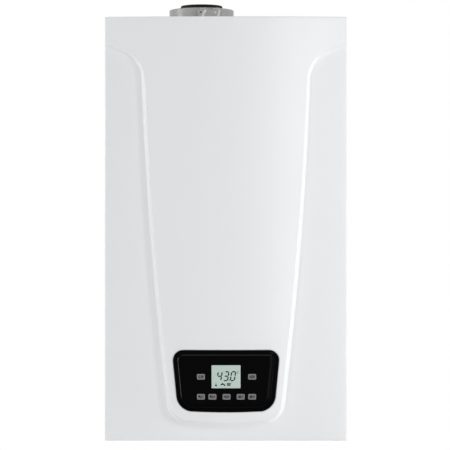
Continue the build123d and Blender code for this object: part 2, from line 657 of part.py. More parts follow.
def exhaust_duct():
    """The pipe from the heat exchanger up into the inner sleeve."""
    foot = hx_top_z(FLUE_X) + STUB_REACH
    duct = rod_z(DUCT_R, FLUE_X, FLUE_Y, foot, CASE_TOP - 2 * PIPE_STOP)
    return duct - rod_z(DUCT_R - 1.5, FLUE_X, FLUE_Y, foot - 1, CASE_TOP)


# ------------------------------------------------- heat exchanger and burner

def hx_top_z(x):
    """Height of the shell's top above a place x."""
    return HX_Z + sqrt(HX_R ** 2 - (x - HX_X) ** 2)


def hx_port_xs():
    """Flow and return stubs under the shell, left and right of its middle."""
    return HX_X - 60, HX_X + 60


def heat_exchanger_shell():
    """A round drum with a flue stub on top, two water stubs and a sump under it."""
    shell = rod_y(HX_R, HX_X, HX_FRONT_Y, HX_BACK_Y, HX_Z)
    flue_z = hx_top_z(FLUE_X) + STUB_REACH
    shell += rod_z(DUCT_R + FLUE_WALL, FLUE_X, FLUE_Y, HX_Z, flue_z + 2 * STUB_REACH)
    foot_z = hx_top_z(hx_port_xs()[0])
    for x in hx_port_xs():
        shell += rod_z(CONNECTING_PIPE_R + 3, x, FLUE_Y, 2 * HX_Z - foot_z - STUB_REACH, HX_Z)
    shell += rod_z(CONDENSATE_HOSE_R + 2, HX_X, sump_y(), HX_Z - HX_R - STUB_REACH, HX_Z)
    shell -= rod_y(HX_R - HX_WALL, HX_X, HX_FRONT_Y - 1, HX_BACK_Y - HX_WALL, HX_Z)
    shell -= rod_z(DUCT_R, FLUE_X, FLUE_Y, flue_z, flue_z + 3 * STUB_REACH)
    shell -= rod_z(DUCT_R - 2, FLUE_X, FLUE_Y, HX_Z, flue_z + STUB_REACH)
    for x in hx_port_xs():
        shell -= rod_z(CONNECTING_PIPE_R, x, FLUE_Y, 2 * HX_Z - foot_z - STUB_REACH - 1, HX_Z)
    shell -= rod_z(CONDENSATE_HOSE_R - 2, HX_X, sump_y(), HX_Z - HX_R - STUB_REACH - 1, HX_Z)
    for x, z in door_stud_places():
        shell += rod_y(STUD_R, x, DOOR_FRONT_Y - 10, HX_FRONT_Y + 6, z)
    return shell


def sump_y():
    """The sump's stub stands in front of the water stubs."""
    return FLUE_Y - 30


def door_stud_places():
    """Six studs round the drum's front rim."""
    angles = [radians(30 + 60 * i) for i in range(6)]
    ring = HX_R - HX_WALL / 2
    return [(HX_X + ring * cos(a), HX_Z + ring * sin(a)) for a in angles]


def heat_exchanger_coil():
    """The coil pack as one ribbed sleeve: the outline of its turns, revolved."""
    pitch = (HX_LENGTH - HX_WALL - 20) / COIL_TURNS
    inner = COIL_OUTER_R - 2 * COIL_TUBE_R
    core = Pos(COIL_OUTER_R - COIL_TUBE_R, pitch * COIL_TURNS / 2) * Rectangle(
        COIL_TUBE_R, pitch * COIL_TURNS)
    profile = core
    for i in range(COIL_TURNS):
        profile += Pos(inner + COIL_TUBE_R, (i + 0.5) * pitch) * Circle(COIL_TUBE_R)
    pack = revolve(Plane.XZ * profile, axis=Axis.Z)
    return Pos(HX_X, HX_BACK_Y - HX_WALL - 5, HX_Z) * Rot(90, 0, 0) * pack


def burner_door():
    """The drum's lid with the mixing channel that comes in from the fan."""
    door = rod_y(HX_R, HX_X, DOOR_FRONT_Y, HX_FRONT_Y, HX_Z)
    left = FAN_X + FAN_R + 2
    right = HX_X + BURNER_R
    foot_z = DUCT_TOP_Z - DUCT_HEIGHT
    front = FAN_FRONT_Y
    channel = block(left, right, front, DOOR_FRONT_Y, foot_z, DUCT_TOP_Z)
    hollow = block(left - 1, right - 4, front + 4, DOOR_FRONT_Y, foot_z + 4, DUCT_TOP_Z - 4)
    door += channel
    door -= hollow
    door -= rod_y(BURNER_R - 8, HX_X, front + 4, HX_FRONT_Y + 1, (foot_z + DUCT_TOP_Z) / 2) & block(
        left, right - 4, front + 4, HX_FRONT_Y + 1, foot_z + 4, DUCT_TOP_Z - 4)
    door -= rod_y(ELECTRODE_R, ELECTRODE_X, DOOR_FRONT_Y - 1, HX_FRONT_Y + 1, electrode_z())
    for x, z in door_stud_places():
        door -= rod_y(STUD_R, x, DOOR_FRONT_Y - 1, HX_FRONT_Y + 1, z)
    return door


def burner_door_nuts():
    """Six nuts on the drum's studs."""
    nuts = []
    for x, z in door_stud_places():
        body = slab(Pos(x, z) * RegularPolygon(NUT_AF / 2, 6, major_radius=False),
                    DOOR_FRONT_Y, DOOR_FRONT_Y - 5)
        nuts.append(body - rod_y(STUD_R, x, DOOR_FRONT_Y - 6, DOOR_FRONT_Y + 1, z))
    return Compound(children=nuts)


def burner_tube():
    """A closed steel burner with ring grooves, fixed behind the door."""
    end = HX_BACK_Y - HX_WALL - BURNER_GAP
    tube = rod_y(BURNER_R, HX_X, HX_FRONT_Y, end, HX_Z)
    tube -= rod_y(BURNER_R - BURNER_WALL, HX_X, HX_FRONT_Y - 1, end - BURNER_WALL, HX_Z)
    return tube


def electrode_z():
    """The electrode stands beside the burner, a little above the drum's middle."""
    return HX_Z + BURNER_R - 4


def ignition_electrode():
    """A ceramic stem with two wires in front of the burner."""
    z = electrode_z()
    stem = rod_y(ELECTRODE_R, ELECTRODE_X, DOOR_FRONT_Y - 18, HX_FRONT_Y + 8, z)
    for side in (-1, 1):
        stem += rod_y(1, ELECTRODE_X + side * 2, HX_FRONT_Y + 8, HX_FRONT_Y + 35, z)
    return stem


# ---------------------------------------------------------------------- fan

def fan_housing():
    """A flat round case with a side outlet into the door's channel."""
    case = rod_y(FAN_R, FAN_X, FAN_FRONT_Y, FAN_BACK_Y, FAN_Z)
    foot_z = DUCT_TOP_Z - DUCT_HEIGHT
    right = FAN_X + FAN_R + 2
    case += block(FAN_X, right, FAN_FRONT_Y, DOOR_FRONT_Y, foot_z, DUCT_TOP_Z)
    case -= rod_y(FAN_R - FAN_WALL, FAN_X, FAN_FRONT_Y + FAN_WALL, FAN_BACK_Y - FAN_WALL, FAN_Z)
    case -= block(FAN_X, right + 1, FAN_FRONT_Y + 4, DOOR_FRONT_Y - 4, foot_z + 4, DUCT_TOP_Z - 4)
    case -= rod_y(FAN_SHAFT_R + RUNNING_GAP, FAN_X, FAN_FRONT_Y - 1, FAN_FRONT_Y + FAN_WALL + 1, FAN_Z)
    case -= rod_y(VENTURI_THROAT_R, FAN_X, FAN_BACK_Y - FAN_WALL - 1, FAN_BACK_Y + 1, FAN_Z)
    return case


def fan_impeller():
    """Two discs, a ring of blades between them, and the shaft into the motor."""
    front = FAN_FRONT_Y + FAN_WALL + RUNNING_GAP
    back = FAN_BACK_Y - FAN_WALL - RUNNING_GAP
    wheel = rod_y(IMPELLER_R, FAN_X, front, front + 1.5, FAN_Z)
    rim = rod_y(IMPELLER_R, FAN_X, back - 1.5, back, FAN_Z)
    wheel += rim - rod_y(VENTURI_THROAT_R + 4, FAN_X, back - 2, back + 1, FAN_Z)
    wheel += rod_y(FAN_SHAFT_R + 4, FAN_X, front, front + 14, FAN_Z)
    blade_inner = VENTURI_THROAT_R + 6
    for i in range(IMPELLER_BLADES):
        blade = block(blade_inner, IMPELLER_R - 0.5, front, back, -0.6, 0.6)
        blade = Rot(0, 28, 0) * Pos(-blade_inner, 0, 0) * blade
        blade = Rot(0, i * 360 / IMPELLER_BLADES, 0) * Pos(blade_inner, 0, 0) * blade
        keep = rod_y(IMPELLER_R, 0, front, back, 0)
        wheel += Pos(FAN_X, 0, FAN_Z) * (blade & keep)
    shaft_end = FAN_FRONT_Y - MOTOR_LENGTH + 4
    return wheel + rod_y(FAN_SHAFT_R, FAN_X, shaft_end, front, FAN_Z)


def fan_motor():
    """The fan's motor on the front of its case, bored for the shaft."""
    motor = rod_y(MOTOR_R, FAN_X, FAN_FRONT_Y - MOTOR_LENGTH, FAN_FRONT_Y, FAN_Z)
    motor = fillet(motor.edges().sort_by(Axis.Y)[0], 3.0)
    shaft_end = FAN_FRONT_Y - MOTOR_LENGTH + 3.5
    return motor - rod_y(FAN_SHAFT_R + PIN_GAP, FAN_X, shaft_end, FAN_FRONT_Y + 1, FAN_Z)


def gas_air_venturi():
    """The mixing tube behind the fan, with the gas neck down to the valve."""
    body = rod_y(VENTURI_R, FAN_X, FAN_BACK_Y, VENTURI_BACK_Y, FAN_Z)
    body += rod_z(CONNECTING_PIPE_R + 2, FAN_X, GAS_VALVE_Y - 5, GAS_VALVE_TOP_Z, FAN_Z)
    body -= rod_y(VENTURI_THROAT_R, FAN_X, FAN_BACK_Y - 1, VENTURI_BACK_Y + 1, FAN_Z)
    return body - rod_z(CONNECTING_PIPE_R - 3, FAN_X, GAS_VALVE_Y - 5, GAS_VALVE_TOP_Z - 1, FAN_Z)


def air_intake_duct():
    """A wide elbow that draws air from the top of the casing."""
    points = [(FAN_X, VENTURI_BACK_Y, FAN_Z), (FAN_X, INTAKE_Y, FAN_Z),
              (FAN_X, INTAKE_Y, INTAKE_TOP_Z)]
    duct = pipe(points, INTAKE_R + 6, INTAKE_R, INTAKE_WALL)
    mouth = Pos(FAN_X, INTAKE_Y, INTAKE_TOP_Z) * Cone(
        INTAKE_R, INTAKE_R + 6, 10, align=(Align.CENTER, Align.CENTER, Align.MIN))
    mouth -= Pos(FAN_X, INTAKE_Y, INTAKE_TOP_Z) * Cone(
        INTAKE_R - INTAKE_WALL, INTAKE_R + 4, 10, align=(Align.CENTER, Align.CENTER, Align.MIN))
    return duct + mouth


def gas_valve():
    """A cast block with two round coils on its side."""
    foot_z = GAS_VALVE_TOP_Z - GAS_VALVE_HEIGHT
    body = block(FAN_X - GAS_VALVE_WIDTH / 2, FAN_X + GAS_VALVE_WIDTH / 2,
                 GAS_VALVE_Y - GAS_VALVE_DEPTH / 2, GAS_VALVE_Y + GAS_VALVE_DEPTH / 2,
                 foot_z + 8, GAS_VALVE_TOP_Z)
    body = fillet(body.edges().filter_by(Axis.Z), 5.0)
    for z in (foot_z + 28, foot_z + 58):
        front = GAS_VALVE_Y - GAS_VALVE_DEPTH / 2
        body += rod_y(13, FAN_X, front - 22, front, z)
    body += rod_z(CONNECTING_PIPE_R + 4, FAN_X, GAS_VALVE_Y, foot_z, foot_z + 8)
    return body - rod_z(CONNECTING_PIPE_R, FAN_X, GAS_VALVE_Y, foot_z - 1, foot_z + 12)


def gas_pipe():
    """From the gas tail up between the water blocks and across to the gas valve."""
    foot = gas_pipe_foot_z()
    level = PLATE_TOP_Z + GAS_PIPE_RISE
    end = GAS_VALVE_TOP_Z - GAS_VALVE_HEIGHT + 12
    points = [(0, TAIL_Y, foot), (0, TAIL_Y, level), (0, GAS_VALVE_Y, level),
              (FAN_X, GAS_VALVE_Y, level), (FAN_X, GAS_VALVE_Y, end)]
    return pipe(points, 22, CONNECTING_PIPE_R, PIPE_WALL)


def gas_pipe_foot_z():
    """The gas pipe stands on the end of its tail."""
    return BLOCK_FOOT_Z + TAIL_SOCKET


# -------------------------------------------------------------- water side

def tail_places():
    """Heating flow, hot water, gas, cold water and heating return, left to right."""
    return [(-2 * TAIL_SPACING, WIDE_TAIL_R), (-TAIL_SPACING, NARROW_TAIL_R), (0, WIDE_TAIL_R),
            (TAIL_SPACING, NARROW_TAIL_R), (2 * TAIL_SPACING, WIDE_TAIL_R)]


def outlet(radius, x, y, foot, top):
    """A solid tail through the tray: its free end, then a shoulder up to a height."""
    shoulder = CASE_BOTTOM + TAIL_SHOULDER
    free = rod_z(radius, x, y, foot, shoulder)
    return free + rod_z(radius + TAIL_GROWTH, x, y, shoulder, top)


def tails(radius):
    """The connection tails of one size, through the tray's holes."""
    foot, top = CASE_BOTTOM - TAIL_REACH, BLOCK_FOOT_Z + TAIL_SOCKET
    tubes = []
    for x, size in tail_places():
        if size == radius:
            tube = outlet(radius, x, TAIL_Y, foot, top)
            tube -= rod_z(radius - PIPE_WALL, x, TAIL_Y, foot - 1, top - TAIL_STOP)
            tubes.append(tube - rod_z(radius - TAIL_STOP, x, TAIL_Y, foot, top + 1))
    return Compound(children=tubes)


def water_block(side):
    """A block on the two tails of one side, with a socket over each."""
    body = block(side * BLOCK_INNER_X, side * BLOCK_OUTER_X, BLOCK_FRONT_Y,
                 BLOCK_FRONT_Y + BLOCK_DEPTH, BLOCK_FOOT_Z, BLOCK_TOP_Z)
    body = fillet(body.edges().filter_by(Axis.Z), 6.0)
    for x, radius in tail_places():
        if x * side > 0:
            body -= rod_z(radius + TAIL_GROWTH, x, TAIL_Y, BLOCK_FOOT_Z - 1,
                          BLOCK_FOOT_Z + TAIL_SOCKET)
            body -= rod_z(radius - 2, x, TAIL_Y, BLOCK_FOOT_Z - 1, BLOCK_FOOT_Z + TAIL_SOCKET + 8)
    return body


def diverter_block():
    """The flow block with the chamber that the diverter's disc moves in."""
    body = water_block(-1)
    chamber_r = STEM_DISC_R + RUNNING_GAP
    back = BLOCK_FRONT_Y + BLOCK_DEPTH - 6
    body -= rod_y(chamber_r, STEM_X, BLOCK_FRONT_Y + 6, back, STEM_Z)
    body -= rod_y(STEM_R + PIN_GAP, STEM_X, BLOCK_FRONT_Y - 1, BLOCK_FRONT_Y + 7, STEM_Z)
    x = hx_port_xs()[0]
    body += rod_z(CONNECTING_PIPE_R + 3, x, TAIL_Y, BLOCK_TOP_Z - 5, BLOCK_TOP_Z + 12)
    return body - rod_z(CONNECTING_PIPE_R, x, TAIL_Y, BLOCK_TOP_Z, BLOCK_TOP_Z + 13)


def diverter_stem():
    """The spindle and disc that send hot water to the heating or to the plates."""
    back = BLOCK_FRONT_Y + BLOCK_DEPTH - 6 - RUNNING_GAP
    disc = rod_y(STEM_DISC_R, STEM_X, back - STEM_TRAVEL - 4, back - STEM_TRAVEL, STEM_Z)
    start = BLOCK_FRONT_Y - 24
    return disc + rod_y(STEM_R, STEM_X, start, back - STEM_TRAVEL - 4, STEM_Z)


def diverter_motor():
    """The small geared motor that pushes the stem."""
    half = DIVERTER_MOTOR_SIZE / 2
    motor = block(STEM_X - half, STEM_X + half, BLOCK_FRONT_Y - DIVERTER_MOTOR_LENGTH,
                  BLOCK_FRONT_Y, STEM_Z - half, STEM_Z + half)
    motor = fillet(motor.edges().filter_by(Axis.Y), 5.0)
    return motor - rod_y(STEM_R + PIN_GAP, STEM_X, BLOCK_FRONT_Y - 26, BLOCK_FRONT_Y + 1, STEM_Z)


def pump_body():
    """The return block with the pump's round case, and the flow sensor's bore."""
    body = water_block(1)
    neck = block(PUMP_X - PUMP_NECK_WIDTH / 2, PUMP_X + PUMP_NECK_WIDTH / 2, BLOCK_FRONT_Y,
                 PUMP_BACK_Y, BLOCK_TOP_Z - 1, PUMP_Z)
    body += neck
    body += rod_y(PUMP_R, PUMP_X, PUMP_FRONT_Y, PUMP_BACK_Y, PUMP_Z)
    chamber = PUMP_IMPELLER_DEPTH + 2 * RUNNING_GAP
    body -= rod_y(PUMP_IMPELLER_R + RUNNING_GAP, PUMP_X, PUMP_FRONT_Y + 6,
                  PUMP_FRONT_Y + 6 + chamber, PUMP_Z)
    body -= rod_y(PUMP_SHAFT_R + RUNNING_GAP, PUMP_X, PUMP_FRONT_Y - 1, PUMP_FRONT_Y + 7, PUMP_Z)
    top = PUMP_Z + PUMP_R + PUMP_STUB
    body += rod_z(CONNECTING_PIPE_R + 3, return_pipe_x(), TAIL_Y, PUMP_Z, top)
    body -= rod_z(CONNECTING_PIPE_R, return_pipe_x(), TAIL_Y, PUMP_Z + PUMP_R - 4, top + 1)
    body += rod_z(VESSEL_HOSE_R + 3, VESSEL_HOSE_X, TAIL_Y, BLOCK_TOP_Z - 5, BLOCK_TOP_Z + 8)
    body -= rod_z(VESSEL_HOSE_R, VESSEL_HOSE_X, TAIL_Y, BLOCK_TOP_Z, BLOCK_TOP_Z + 9)
    sensor_z = BLOCK_FOOT_Z + TAIL_SOCKET + 8
    body -= rod_z(TURBINE_R + 1, TURBINE_X, TAIL_Y, sensor_z - 1, sensor_z + TURBINE_LENGTH + 6)
    return body


def return_pipe_x():
    """The return pipe stands between the pump's middle and the drum's return stub."""
    return (PUMP_X + hx_port_xs()[1]) / 2


def flow_turbine():
    """The flow sensor's little wheel in the cold water's bore."""
    foot = BLOCK_FOOT_Z + TAIL_SOCKET + 10
    wheel = rod_z(2, TURBINE_X, TAIL_Y, foot, foot + TURBINE_LENGTH)
    for i in range(TURBINE_BLADES):
        blade = Rot(0, 0, i * 360 / TURBINE_BLADES) * Pos(TURBINE_R / 2, 0, 0) * Rot(
            25, 0, 0) * Box(TURBINE_R - 1, 1, TURBINE_LENGTH - 3)
        wheel += Pos(TURBINE_X, TAIL_Y, foot + TURBINE_LENGTH / 2) * blade
    return wheel


def pump_impeller():
    """The pump's wheel: a disc with vanes and the shaft into the motor."""
    front = PUMP_FRONT_Y + 6 + RUNNING_GAP
    back = front + PUMP_IMPELLER_DEPTH
    wheel = rod_y(PUMP_IMPELLER_R, PUMP_X, front, front + 2, PUMP_Z)
    wheel += rod_y(PUMP_SHAFT_R + 3, PUMP_X, front, back, PUMP_Z)
    for i in range(PUMP_VANES):
        vane = block(0, PUMP_IMPELLER_R - 1, front, back, -1, 1)
        wheel += Pos(PUMP_X, 0, PUMP_Z) * Rot(0, i * 360 / PUMP_VANES, 0) * vane
    shaft_end = PUMP_FRONT_Y - PUMP_SHAFT_LENGTH
    return wheel + rod_y(PUMP_SHAFT_R, PUMP_X, shaft_end, front, PUMP_Z)


def pump_motor():
    """The pump's motor with its end cap, bored for the shaft."""
    front = PUMP_FRONT_Y - PUMP_MOTOR_LENGTH
    motor = rod_y(PUMP_MOTOR_R, PUMP_X, front, PUMP_FRONT_Y, PUMP_Z)
    motor = fillet(motor.edges().sort_by(Axis.Y)[0], 6.0)
    bore_end = PUMP_FRONT_Y - PUMP_SHAFT_LENGTH - RUNNING_GAP
    return motor - rod_y(PUMP_SHAFT_R + PIN_GAP, PUMP_X, bore_end, PUMP_FRONT_Y + 1, PUMP_Z)


def plate_heat_exchanger():
    """Brazed plates: a block with a groove round it between each pair."""
    back = BLOCK_FRONT_Y - 2
    half = PLATE_LENGTH / 2
    outline = Pos(0, (PLATE_TOP_Z + PLATE_FOOT_Z) / 2) * RectangleRounded(
        2 * half, PLATE_HEIGHT, 12)
    core = Pos(0, (PLATE_TOP_Z + PLATE_FOOT_Z) / 2) * RectangleRounded(
        2 * half - 2 * PLATE_GROOVE, PLATE_HEIGHT - 2 * PLATE_GROOVE, 11)
    body = slab(core, back, back - PLATE_DEPTH)
    for i in range(PLATES):
        y = back - i * PLATE_PITCH
        body += slab(outline, y, y - PLATE_PITCH / 2)
    for x in (-(BLOCK_INNER_X + 14), BLOCK_INNER_X + 14):
        body += rod_y(8, x, back, BLOCK_FRONT_Y, PLATE_FOOT_Z + 14)
    return body


def expansion_vessel():
    """A flat pressed vessel behind the heat exchanger, with its port under it."""
    mid_z = VESSEL_TOP_Z - VESSEL_HEIGHT / 2
    body = vessel_form(0)
    seam = Pos(0, mid_z) * RectangleRounded(VESSEL_WIDTH + 10, VESSEL_HEIGHT + 10,
                                            VESSEL_RADIUS + 5)
    body += slab(seam, VESSEL_Y + 1.5, VESSEL_Y - 1.5)
    foot = VESSEL_FOOT_Z - 5
    body += rod_z(VESSEL_HOSE_R + 3, VESSEL_HOSE_X, VESSEL_Y, foot - 8, foot + 6)
    body -= vessel_form(VESSEL_WALL)
    body -= rod_z(VESSEL_HOSE_R, VESSEL_HOSE_X, VESSEL_Y, foot - 9, foot + 2)
    return body - rod_z(VESSEL_HOSE_R / 2, VESSEL_HOSE_X, VESSEL_Y, foot, foot + 20)


def vessel_form(wall):
    """The vessel's pressed form, taken in by a wall: 0 gives the outside."""
    mid_z = VESSEL_TOP_Z - VESSEL_HEIGHT / 2
    shape = Pos(0, mid_z) * RectangleRounded(VESSEL_WIDTH - 2 * wall, VESSEL_HEIGHT - 2 * wall,
                                             VESSEL_RADIUS - wall)
    half = VESSEL_DEPTH / 2 - wall
    body = slab(shape, VESSEL_Y + half, VESSEL_Y - half)
    rims = [e for e in body.edges() if abs(abs(e.center().Y - VESSEL_Y) - half) < 0.1]
    return fillet(rims, VESSEL_EDGE - wall)


def vessel_hose():
    """The flexible hose from the vessel's port to the return block."""
    top = VESSEL_FOOT_Z - 3
    foot = BLOCK_TOP_Z
    level = (top + foot) / 2 - 4
    points = [(VESSEL_HOSE_X, VESSEL_Y, top), (VESSEL_HOSE_X, VESSEL_Y, level),
              (VESSEL_HOSE_X, TAIL_Y, level), (VESSEL_HOSE_X, TAIL_Y, foot)]
    return pipe(points, 24, VESSEL_HOSE_R, 2.0)


def flow_pipe():
    """From the drum's left stub down to the flow block."""
    x = hx_port_xs()[0]
    top = 2 * HX_Z - hx_top_z(x) - 2
    return connecting_pipe(x, x, top, BLOCK_TOP_Z)


def return_pipe():
    """From the pump's outlet up to the drum's right stub."""
    x = hx_port_xs()[1]
    top = 2 * HX_Z - hx_top_z(x) - 2
    return connecting_pipe(x, return_pipe_x(), top, PUMP_Z + PUMP_R - 4)


def connecting_pipe(x_top, x_foot, top, foot):
    """A copper pipe with one jog between a stub of the drum and a block below."""
    upper = top - (top - foot) / 4
    lower = foot + (top - foot) / 3
    points = [(x_top, FLUE_Y, top), (x_top, FLUE_Y, upper), (x_foot, TAIL_Y, lower),
              (x_foot, TAIL_Y, foot)]
    return pipe(points, 40, CONNECTING_PIPE_R, PIPE_WALL)


def condensate_trap():
    """A bottle trap with its outlet down through the tray."""
    foot = TRAP_TOP_Z - TRAP_HEIGHT
    bottle = rod_z(TRAP_R, TRAP_X, TRAP_Y, foot, TRAP_TOP_Z)
    bottle = fillet(bottle.edges().filter_by(GeomType.CIRCLE), 5.0)
    free_end = CASE_BOTTOM - CONDENSATE_REACH
    bottle += outlet(CONDENSATE_R, TRAP_X, TRAP_Y, free_end, foot + 2)
    bottle += rod_z(CONDENSATE_HOSE_R + 1, TRAP_X, TRAP_Y, TRAP_TOP_Z - 2, TRAP_TOP_Z + TRAP_NECK)
    bottle -= rod_z(TRAP_R - 2, TRAP_X, TRAP_Y, foot + 6, TRAP_TOP_Z - 6)
    bottle -= rod_z(CONDENSATE_R - 2, TRAP_X, TRAP_Y, free_end - 1, foot + 7)
    return bottle - rod_z(CONDENSATE_HOSE_R - 2, TRAP_X, TRAP_Y, TRAP_TOP_Z - 7,
                          TRAP_TOP_Z + TRAP_NECK + 1)


def condensate_hose():
    """The hose from the drum's sump to the trap."""
    top = HX_Z - HX_R - STUB_REACH
    foot = TRAP_TOP_Z + TRAP_NECK
    run = (top - foot) / 3
    points = [(HX_X, sump_y(), top), (HX_X, sump_y(), top - run),
              (TRAP_X, TRAP_Y, foot + run), (TRAP_X, TRAP_Y, foot)]
    return pipe(points, 0.8 * run, CONDENSATE_HOSE_R, 2.0)


def safety_valve():
    """A brass body with a neck into the block, a discharge pipe and a bonnet."""
    body = rod_y(SAFETY_R, SAFETY_X, BLOCK_FRONT_Y, BLOCK_FRONT_Y + BLOCK_DEPTH, SAFETY_Z)
    body += rod_x(7, BLOCK_OUTER_X, SAFETY_X, TAIL_Y, SAFETY_Z)
    free_end = CASE_BOTTOM - TAIL_REACH
    body += outlet(NARROW_TAIL_R, SAFETY_X, TAIL_Y, free_end, SAFETY_Z)
    body -= rod_z(NARROW_TAIL_R - 1.5, SAFETY_X, TAIL_Y, free_end - 1, SAFETY_Z - SAFETY_R)
    return body - rod_y(4 + PIN_GAP, SAFETY_X, BLOCK_FRONT_Y - 1, BLOCK_FRONT_Y + 16, SAFETY_Z)


def safety_valve_knob():
    """The ribbed knob that lifts the safety valve, with its stem in the bonnet."""
    back = BLOCK_FRONT_Y - 1
    front = back - SAFETY_KNOB_LENGTH
    knob = rod_y(SAFETY_KNOB_R, SAFETY_X, front, back, SAFETY_Z)
    for i in range(8):
        angle = radians(45 * i)
        x = SAFETY_X + SAFETY_KNOB_R * cos(angle)
        z = SAFETY_Z + SAFETY_KNOB_R * sin(angle)
        knob -= rod_y(3, x, front - 1, back - 3, z)
    return knob + rod_y(4, SAFETY_X, back, BLOCK_FRONT_Y + 15, SAFETY_Z)


# ------------------------------------------------------------- control box

def control_box():
    """A tub open to the back, with two ears on the tilt pins."""
    half = BOX_HALF_WIDTH
    tub = block(-half, half, BOX_FRONT_Y, BOX_BACK_Y, BOX_FOOT_Z, BOX_TOP_Z)
    tub = fillet(tub.edges().filter_by(Axis.Y), 4.0)
    tub -= block(-half + BOX_WALL, half - BOX_WALL, BOX_FRONT_Y + BOX_WALL, BOX_BACK_Y + 1,
                 BOX_FOOT_Z + BOX_WALL, BOX_TOP_Z - BOX_WALL)
    for side in (-1, 1):
        inside = side * (half - EAR_THICK)
        ear = block(inside, side * half, TILT_Y - EAR_R, TILT_Y + EAR_R, TILT_Z, BOX_FOOT_Z + 4)
        ear += rod_x(EAR_R, inside, side * half, TILT_Y, TILT_Z)
        tub += ear
        tub -= rod_x(TILT_PIN_R + PIN_GAP, inside - side, side * half + side, TILT_Y, TILT_Z)
    return tub


def control_box_lid():
    """The flat lid over the back of the tub, with vent slots."""
    inner = BOX_HALF_WIDTH - BOX_WALL
    foot, top = BOX_FOOT_Z + BOX_WALL, BOX_TOP_Z - BOX_WALL
    lid = block(-inner, inner, BOX_BACK_Y - BOX_WALL, BOX_BACK_Y, foot, top)
    for i in range(-3, 4):
        lid -= block(i * 20 - 6, i * 20 + 6, BOX_BACK_Y - 5, BOX_BACK_Y + 1, top - 30, top - 26)
    return lid


def control_fascia():
    """The black panel: a flat face, a sloped border, and openings for keys and display."""
    edge_y = FACE_Y + FASCIA_PROUD
    panel = slab(fascia_outline(0), BOX_FRONT_Y, edge_y)
    lower = front_plane(edge_y) * fascia_outline(0)
    upper = front_plane(FACE_Y) * fascia_outline(-FASCIA_BAND)
    panel += loft([lower.face(), upper.face()], ruled=True)
    panel -= slab(fascia_outline(-FASCIA_BAND - 1.5), BOX_FRONT_Y, FACE_Y + FASCIA_WALL)
    for x, z in key_places().values():
        hole = RectangleRounded(KEY_WIDTH + 2 * KEY_GAP, KEY_HEIGHT + 2 * KEY_GAP,
                                KEY_RADIUS + KEY_GAP)
        panel -= slab(Pos(x, z) * hole, BOX_FRONT_Y, FACE_Y - 1)
    return panel - slab(display_outline(0), BOX_FRONT_Y, FACE_Y - 1)


def display_outline(grow):
    return Pos(0, KEY_TOP_Z) * RectangleRounded(
        DISPLAY_WIDTH + 2 * grow, DISPLAY_HEIGHT + 2 * grow, 1.0 + max(grow, 0))


def display_window():
    """The clear window, set flush in the fascia."""
    return slab(display_outline(0), FACE_Y + DISPLAY_THICK, FACE_Y)


def display_board():
    """The board behind the keys, with the display's glass, on posts from the control box."""
    front = FACE_Y + BOARD_DEPTH
    board = slab(fascia_outline(-FASCIA_BAND - 2), front + BOARD_THICK, front)
    board += slab(display_outline(-0.5), front, FACE_Y + DISPLAY_THICK)
    for x in (-BOARD_POST_X, BOARD_POST_X):
        for z in (KEY_TOP_Z, KEY_LOW_Z):
            board += rod_y(BOARD_POST_R, x, front, BOX_FRONT_Y, z)
    return board


def circuit_board():
    """The main board in the tub, with its transformer, relays and connectors."""
    inner = BOX_HALF_WIDTH - BOX_WALL - 2
    foot, top = BOX_FOOT_Z + BOX_WALL + 2, BOX_TOP_Z - BOX_WALL - 2
    back = BOX_BACK_Y - BOX_WALL - 6
    board = block(-inner, inner, back - BOARD_THICK, back, foot, top)
    board += block(-inner + 10, -inner + 52, back - 30, back - BOARD_THICK, top - 48, top - 8)
    for i in range(4):
        x = i * 26
        board += block(x, x + 18, back - 18, back - BOARD_THICK, top - 28, top - 10)
    for i in range(6):
        x = -inner + 12 + i * 34
        board += block(x, x + 24, back - 14, back - BOARD_THICK, foot + 4, foot + 14)
    for x in (-inner + 3, inner - 3):
        for z in (foot + 3, top - 3):
            board += rod_y(2.5, x, back, back + 6, z)
    return board


def key_places():
    """Each key's name with its middle: two beside the display, five in a row below."""
    places = {
        "button_reset": (-KEY_FAR_X, KEY_TOP_Z),
        "button_info": (KEY_FAR_X, KEY_TOP_Z),
        "button_hot_water_down": (-KEY_FAR_X, KEY_LOW_Z),
        "button_hot_water_up": (-KEY_NEAR_X, KEY_LOW_Z),
        "button_mode": (0, KEY_LOW_Z),
        "button_heating_down": (KEY_NEAR_X, KEY_LOW_Z),
        "button_heating_up": (KEY_FAR_X, KEY_LOW_Z),
    }
    return {name: (x + KEY_ASIDE, z) for name, (x, z) in places.items()}


def key(x, z):
    """A key's cap, with a rim behind the fascia that stops it from falling out."""
    cap = RectangleRounded(KEY_WIDTH, KEY_HEIGHT, KEY_RADIUS)
    back = FACE_Y + FASCIA_WALL + KEY_GAP
    body = slab(Pos(x, z) * cap, back + KEY_RIM_THICK, FACE_Y - KEY_PROUD)
    body = fillet(body.faces().sort_by(Axis.Y)[0].edges(), 0.6)
    rim = RectangleRounded(KEY_WIDTH + 2 * KEY_RIM, KEY_HEIGHT + 2 * KEY_RIM, KEY_RADIUS + 1)
    body += slab(Pos(x, z) * rim, back + KEY_RIM_THICK, back)
    stem_end = FACE_Y + BOARD_DEPTH - KEY_TRAVEL - KEY_GAP
    return body + rod_y(2, x, back, stem_end, z)


